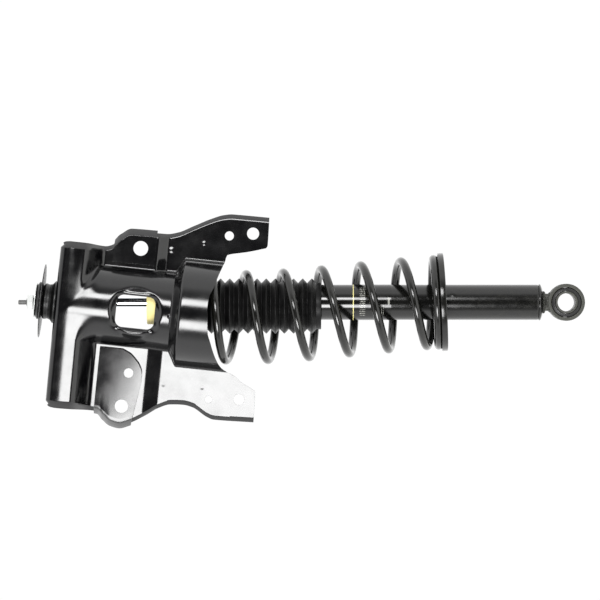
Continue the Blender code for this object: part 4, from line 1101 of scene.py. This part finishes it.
class STRUT_OT_eye(bpy.types.Operator):
    """Makes the eye ring with its neck and weld, its rubber and its steel sleeve"""
    bl_idname = "strut.eye"
    bl_label = "Lower Eye"

    def execute(self, context):
        damper = settings("damper")
        spot = Matrix.Translation((0, 0, EYE_Z)) @ ON_SIDE
        outer, bore, half = damper.eye, damper.eye - damper.eye_wall, damper.eye_half
        ring = turned(rounded([(outer, half), (outer, -half), (bore, -half), (bore, half)], 0.0010), 96)
        finish_piece("eye_ring", ring, "dusty_paint", "damper_body", ["lower_eye"], spot)
        neck_top = TUBE_BOTTOM - GAP - CAP_DROP - GAP
        foot = EYE_Z + outer
        neck_low = foot - 0.0030
        neck = bmesh.new()
        bmesh.ops.create_cube(neck, size=1)
        bmesh.ops.scale(neck, vec=(0.022, 0.0165, neck_top - neck_low), verts=neck.verts)
        bmesh.ops.translate(neck, vec=(0, 0, (neck_top + neck_low) / 2), verts=neck.verts)
        upright = [e for e in neck.edges if abs(e.verts[0].co.z - e.verts[1].co.z) > 0.001]
        bmesh.ops.bevel(neck, geom=upright, offset=0.004, offset_type="OFFSET", segments=5, profile=0.5,
                        affect="EDGES", material=-1)
        finish_piece("eye_neck", neck, "dusty_paint", "damper_body")
        for name, height, reach in (("weld_upper", neck_top - 0.0010, 0.0118), ("weld_lower", foot, 0.0106)):
            bead = turned([(reach + 0.0022 * math.cos(turn), 0.0018 * math.sin(turn))
                           for turn in (math.tau * k / 12 for k in range(12))], 90)
            for vert in bead.verts:
                turn = math.atan2(vert.co.y, vert.co.x)
                vert.co.z += 0.0003 * math.sin(turn * 26)
                vert.co.xy *= 1 + 0.02 * math.sin(turn * 26)
            if name == "weld_lower":
                for vert in bead.verts:
                    vert.co.z -= outer - math.sqrt(outer ** 2 - min(abs(vert.co.x), outer) ** 2)
            bmesh.ops.scale(bead, vec=(1, 0.80, 1), verts=bead.verts)
            bmesh.ops.translate(bead, vec=(0, 0, height), verts=bead.verts)
            finish_piece(name, bead, "dusty_paint", "damper_body")
        rubber = turned(rounded([(bore - GAP, half - 0.0005), (bore - GAP, -half + 0.0005),
                                 (damper.sleeve + 0.0012, -half - 0.001),
                                 (damper.sleeve + GAP, -half - 0.001), (damper.sleeve + GAP, half + 0.001),
                                 (damper.sleeve + 0.0012, half + 0.001)], 0.0008), 96)
        finish_piece("eye_rubber", rubber, "moulded_rubber", "damper_body", ["eye_bush"],
                     spot)
        ends = half + 0.005
        inner = damper.sleeve - EYE_SLEEVE_WALL
        sleeve = turned(rounded([(damper.sleeve, ends), (damper.sleeve, -ends), (inner, -ends),
                                 (inner, ends)], 0.0004), 96)
        finish_piece("eye_tube", sleeve, "dusty_paint", "eye_sleeve", ["eye_sleeve"], spot)
        return {"FINISHED"}


# ---- spring ---------------------------------------------------------------------------------------------
def spring_axis(share):
    """Centre and direction of the coil's axis, from the lower tray (0) to the upper seat (1)."""
    low = Vector((0, 0, SPRING_LOW))
    high = TO_ROW @ Vector((SPRING_TOP_X, 0, SPRING_TOP))
    span = (high - low).length
    go = Vector((-math.sin(SEAT_LEAN), 0, math.cos(SEAT_LEAN))) * span
    arrive = Vector((math.sin(LEAN), 0, math.cos(LEAN))) * span
    t = share
    spot = ((2 * t**3 - 3 * t**2 + 1) * low + (t**3 - 2 * t**2 + t) * go
            + (3 * t**2 - 2 * t**3) * high + (t**3 - t**2) * arrive)
    way = ((6 * t**2 - 6 * t) * low + (3 * t**2 - 4 * t + 1) * go
           + (6 * t - 6 * t**2) * high + (3 * t**2 - 2 * t) * arrive)
    return spot, way.normalized()


def coil_points(per_turn=72):
    """Centre line of the wire: closed, open, closed."""
    spring = settings("spring")
    total = 2 * DEAD + spring.turns
    count = round(total * per_turn)
    opening = [0.0]
    for k in range(count):
        at = total * (k + 0.5) / count
        share = smooth_step(at, DEAD, DEAD + RAMP) * (1 - smooth_step(at, total - DEAD - RAMP, total - DEAD))
        opening.append(opening[-1] + share * total / count)
    rise = (spring_axis(1)[0] - spring_axis(0)[0]).length
    scale = (rise - DEAD_PITCH * total) / opening[-1]
    points = []
    for k in range(count + 1):
        turn = total * k / count
        spot, way = spring_axis((opening[k] * scale + DEAD_PITCH * turn) / rise)
        across = Vector((0, 1, 0)).cross(way)
        angle = math.tau * (turn - DEAD)
        points.append(spot + spring.coil * (math.cos(angle) * across + math.sin(angle) * Vector((0, 1, 0))))
    return points


class STRUT_OT_spring(bpy.types.Operator):
    """Winds the coil spring between its seats"""
    bl_idname = "strut.spring"
    bl_label = "Coil Spring"

    def execute(self, context):
        spring = settings("spring")
        curve = bpy.data.curves.new("spring_line", "CURVE")
        curve.dimensions = "3D"
        curve.bevel_depth = spring.wire
        curve.bevel_resolution = 8
        curve.use_fill_caps = True
        points = coil_points()
        spline = curve.splines.new("POLY")
        spline.points.add(len(points) - 1)
        for point, spot in zip(spline.points, points):
            point.co = (*spot, 1)
        line = bpy.data.objects.new("spring_line", curve)
        context.scene.collection.objects.link(line)
        mesh = bpy.data.meshes.new_from_object(line.evaluated_get(context.evaluated_depsgraph_get()))
        bpy.data.objects.remove(line)
        work = bmesh.new()
        work.from_mesh(mesh)
        bmesh.ops.remove_doubles(work, verts=work.verts, dist=1e-6)
        coil = finish_piece("spring_coil", work, "spring_coat", "bracket", ["coil_spring"])
        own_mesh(coil)
        return {"FINISHED"}


class STRUT_OT_seats(bpy.types.Operator):
    """Presses the spring's lower tray with its collar, and lays the rubber ring in it"""
    bl_idname = "strut.seats"
    bl_label = "Lower Spring Tray"

    def execute(self, context):
        spring = settings("spring")
        tube = settings("damper").tube
        place = Matrix.Translation((0, 0, SPRING_LOW)) @ Matrix.Rotation(-SEAT_LEAN, 4, "Y")
        pad_top = -spring.wire - GAP
        floor = pad_top - 0.0020 - GAP
        under = floor - spring.tray_sheet
        wall = 0.0017
        hub = tube + GAP + spring.tray_sheet
        tray = rounded([(spring.tray - wall, under + 0.0073), (spring.tray, under + 0.0073),
                        (spring.tray, under), (tube + 0.006, under), (tube + 0.0005, under + 0.002),
                        (tube + 0.0005, floor + 0.012),
                        (hub, floor + 0.012), (hub, floor), (spring.tray - wall, floor)], 0.0012)
        finish_piece("spring_tray", turned(tray, 128), "spring_coat", "damper_body", ["lower_spring_seat"],
                     place)
        edge = spring.coil + spring.wire - GAP
        pad = rounded([(edge, pad_top), (edge, pad_top - 0.002), (spring.coil - 0.006, pad_top - 0.002),
                       (spring.coil - 0.006, pad_top)], 0.0006)
        finish_piece("spring_tray_pad", turned(pad, 128), "moulded_rubber", "damper_body",
                     ["lower_spring_pad"], place)
        return {"FINISHED"}


class STRUT_OT_soft(bpy.types.Operator):
    """Moulds the bellows and the foam bump stop inside it"""
    bl_idname = "strut.soft"
    bl_label = "Bellows and Bump Stop"

    def execute(self, context):
        boot = settings("boot")
        lo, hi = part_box("dust_boot")
        outer = [(boot.valley - 0.0006, hi.z), (boot.valley - 0.0006, hi.z - 0.004)]
        for k in range(boot.pleats):
            z = hi.z - 0.004 - boot.pitch * k
            outer += [(boot.peak, z - boot.pitch * 0.47), (boot.peak, z - boot.pitch * 0.53),
                      (boot.valley, z - boot.pitch * 0.96), (boot.valley, z - boot.pitch)]
        outer.append((boot.valley, lo.z))
        inner = [(r - boot.wall, z) for r, z in reversed(outer)]
        shape = turned(rounded(outer + inner, 0.0012, 3), 96)
        finish_piece("bellows", shape, "bellows_rubber", "bracket", ["dust_boot"],
                     Matrix.Translation((boot.offset, 0, 0)), 60)
        bore = settings("damper").rod + 0.0015
        head = rounded([(bore, BUMP_TOP), (BUMP_HEAD_R, BUMP_TOP), (BUMP_HEAD_R, BUMP_HEAD_LOW + 0.001),
                        (BUMP_WAIST_R, BUMP_HEAD_LOW), (bore, BUMP_HEAD_LOW)], 0.0012)
        finish_piece("bump_stop_head", turned(head), "urethane_foam", "bracket", ["bump_stop"])
        base = BUMP_HEAD_LOW - 0.00005
        ring = (BUMP_BODY_TOP - BUMP_END) / 3
        body = [(BUMP_WAIST_R, base), (BUMP_WAIST_R, BUMP_BODY_TOP + 0.003), (BUMP_BODY_R, BUMP_BODY_TOP)]
        for k in range(3):
            z = BUMP_BODY_TOP - ring * k
            taper = 0.0015 * (k + 1)
            body += [(BUMP_BODY_R - taper, z - ring * 0.55),
                     (BUMP_BODY_R - taper - (0.0035 if k < 2 else 0.005), z - ring)]
        body += [(bore, BUMP_END), (bore, base)]
        stop = finish_piece("bump_stop_body", turned(rounded(body, 0.003, 5)), "urethane_foam", "bracket",
                            ["bump_stop"])
        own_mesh(stop)
        return {"FINISHED"}


class STRUT_OT_label(bpy.types.Operator):
    """Sticks a plain printed label round the tube"""
    bl_idname = "strut.label"
    bl_label = "Tube Label"

    def execute(self, context):
        damper = settings("damper")
        thin = 0.00012
        work = bmesh.new()
        half = 0.5 * (damper.label_end - damper.label_top)
        bmesh.ops.create_grid(work, x_segments=48, y_segments=12, size=1)
        for vert in work.verts:
            turn = vert.co.x * math.radians(100) - math.radians(90)
            vert.co = ((damper.tube + thin) * math.cos(turn), (damper.tube + thin) * math.sin(turn),
                       -damper.label_top - half + vert.co.y * half)
        work.normal_update()
        bmesh.ops.solidify(work, geom=work.faces[:], thickness=-thin)
        finish_piece("tube_label", work, "printed_label", "damper_body")
        return {"FINISHED"}


class STRUT_OT_carried(bpy.types.Operator):
    """Gives the parts that stay as packed their real finishes"""
    bl_idname = "strut.carried"
    bl_label = "Carried Parts"

    def execute(self, context):
        for part in frame["record"]["subparts"]:
            obj = frame["nodes"][part["node"]]
            if obj.hide_render:
                continue
            made = finish(SLOT_FINISH[part["material_slot"]])
            if not obj.material_slots:
                obj.data.materials.append(made)
            for place in obj.material_slots:
                place.material = made
        return {"FINISHED"}


# ---- studio ---------------------------------------------------------------------------------------------
def strip_light(name, angle, half_angle, strength, far=2.0, low=-0.55, high=0.54):
    """A strip light at an angle above the view line, as wide as half_angle each side of it."""
    data = bpy.data.lights.new(name, "AREA")
    data.shape = "RECTANGLE"
    width = 2 * far * math.tan(math.radians(half_angle)) / 0.7      # half bright at half_angle
    tall = high - low
    data.size = width
    data.size_y = tall
    data.energy = strength * math.pi * width * tall
    data.use_nodes = True
    tree = data.node_tree
    across = add_node(tree, "ShaderNodeSeparateXYZ",
                      {"Vector": add_node(tree, "ShaderNodeNewGeometry").outputs["Parametric"]}).outputs
    soft = []
    for axis, solid in (("X", 0.4), ("Y", 0.8)):
        off = add_node(tree, "ShaderNodeMath", {0: across[axis], 1: 0.5}, operation="SUBTRACT").outputs[0]
        off = add_node(tree, "ShaderNodeMath", {0: off}, operation="ABSOLUTE").outputs[0]
        soft.append(spread(tree, off, 1.0, 0.0, solid / 2, 0.5, "SMOOTHSTEP"))
    share = add_node(tree, "ShaderNodeMath", {0: soft[0], 1: soft[1]}, operation="MULTIPLY").outputs[0]
    tree.links.new(share, tree.nodes["Emission"].inputs["Strength"])
    turn = math.radians(angle)
    obj = bpy.data.objects.new(name, data)
    obj.location = (far * math.sin(turn), -far * math.cos(turn), (low + high) / 2)
    obj.rotation_euler = (math.radians(90), 0, turn)
    obj.visible_camera = False
    bpy.context.scene.collection.objects.link(obj)


def studio_world(glow):
    """White surround with a dark gap behind the camera, so that faces turned to it stay black."""
    world = bpy.data.worlds.new("studio")
    bpy.context.scene.world = world
    world.use_nodes = True
    tree = world.node_tree
    back = tree.nodes["Background"]
    way = add_node(tree, "ShaderNodeSeparateXYZ",
                   {"Vector": add_node(tree, "ShaderNodeTexCoord").outputs["Generated"]}).outputs
    ahead = add_node(tree, "ShaderNodeMath", {0: way["Y"], 1: -1.0}, operation="MULTIPLY").outputs[0]
    ahead = add_node(tree, "ShaderNodeMath", {0: ahead, 1: 0.001}, operation="MAXIMUM").outputs[0]
    shares = []
    for axis, start, end in (("X", 0.45, 1.90), ("Z", 0.90, 1.40)):
        other = add_node(tree, "ShaderNodeMath", {0: way[axis], 1: -1 if axis == "X" else -0.25},
                         operation="MULTIPLY").outputs[0]
        size = add_node(tree, "ShaderNodeMath", {0: way[axis], 1: other}, operation="MAXIMUM").outputs[0]
        size = add_node(tree, "ShaderNodeMath", {0: size, 1: ahead}, operation="DIVIDE").outputs[0]
        shares.append(spread(tree, size, 1.0, 0.0, start, end, "SMOOTHSTEP"))
    gap = add_node(tree, "ShaderNodeMath", {0: shares[0], 1: shares[1]}, operation="MULTIPLY").outputs[0]
    around = spread(tree, gap, glow, 0.06, 0.0, 1.0)
    seen = add_node(tree, "ShaderNodeLightPath").outputs["Is Camera Ray"]
    strength = add_node(tree, "ShaderNodeMix", {0: seen}, data_type="FLOAT")
    tree.links.new(around, strength.inputs[2])
    strength.inputs[3].default_value = 1.02
    tree.links.new(strength.outputs[0], back.inputs["Strength"])
    back.inputs["Color"].default_value = (1, 1, 1, 1)


class STRUT_OT_stage(bpy.types.Operator):
    """Sets the floor, the surround, the two strip lights and the camera"""
    bl_idname = "strut.stage"
    bl_label = "Studio"

    def execute(self, context):
        stage = settings("stage")
        work = bmesh.new()
        bmesh.ops.create_circle(work, cap_ends=True, cap_tris=False, segments=96, radius=0.9)
        bmesh.ops.translate(work, verts=work.verts, vec=(0, 0, CAD_BOX[0].z - stage.drop))
        bmesh.ops.recalc_face_normals(work, faces=work.faces)
        floor = as_object("floor", work)
        floor.data.materials.append(finish("studio_floor"))
        studio_world(stage.glow)
        strip_light("strip_upper", 23.5, 6.5, stage.strip)
        strip_light("strip_lower", -25.0, 9.0, stage.strip)
        lens = bpy.data.cameras.new("camera")
        lens.lens = stage.lens
        camera = bpy.data.objects.new("camera", lens)
        context.scene.collection.objects.link(camera)
        turn = Matrix(((0, 1, 0), (0, 0, -1), (-1, 0, 0)))
        camera.matrix_world = Matrix.Translation((0.0029, -stage.far, -0.3099)) @ turn.to_4x4()
        lens.clip_end = 50
        context.scene.camera = camera
        context.scene.view_settings.view_transform = "Standard"
        return {"FINISHED"}


class STRUT_PT_panel(bpy.types.Panel):
    """Lists the strut's pieces and their settings"""
    bl_idname = "STRUT_PT_panel"
    bl_label = "Strut Assembly"
    bl_space_type = "VIEW_3D"
    bl_region_type = "UI"
    bl_category = "Strut"

    def draw(self, context):
        for made in OPERATORS:
            self.layout.operator(made.bl_idname)
        for name, group in SETTINGS.items():
            box = self.layout.box()
            box.label(text=name.title())
            for key in group.__annotations__:
                box.prop(settings(name), key)


SETTINGS = {
    "bracket": StrutBracketSettings, "damper": StrutDamperSettings, "spring": StrutSpringSettings,
    "boot": StrutBootSettings, "finish": StrutFinishSettings, "stage": StrutStageSettings,
}
OPERATORS = (
    STRUT_OT_stage, STRUT_OT_bracket, STRUT_OT_ears, STRUT_OT_mount, STRUT_OT_rod, STRUT_OT_tube,
    STRUT_OT_eye, STRUT_OT_spring, STRUT_OT_seats, STRUT_OT_soft, STRUT_OT_label, STRUT_OT_carried,
)


def register():
    for made in (*SETTINGS.values(), *OPERATORS, STRUT_PT_panel):
        bpy.utils.register_class(made)
    for name, group in SETTINGS.items():
        setattr(bpy.types.Scene, "strut_" + name, PointerProperty(type=group))


def unregister():
    for name in SETTINGS:
        delattr(bpy.types.Scene, "strut_" + name)
    for made in reversed((*SETTINGS.values(), *OPERATORS, STRUT_PT_panel)):
        bpy.utils.unregister_class(made)


def main():
    register()
    for made in OPERATORS:
        group, name = made.bl_idname.split(".")
        if getattr(getattr(bpy.ops, group), name)() != {"FINISHED"}:
            raise RuntimeError(made.bl_label + " was not made")
    bpy.context.view_layer.update()


if __name__ == "__main__":
    main()
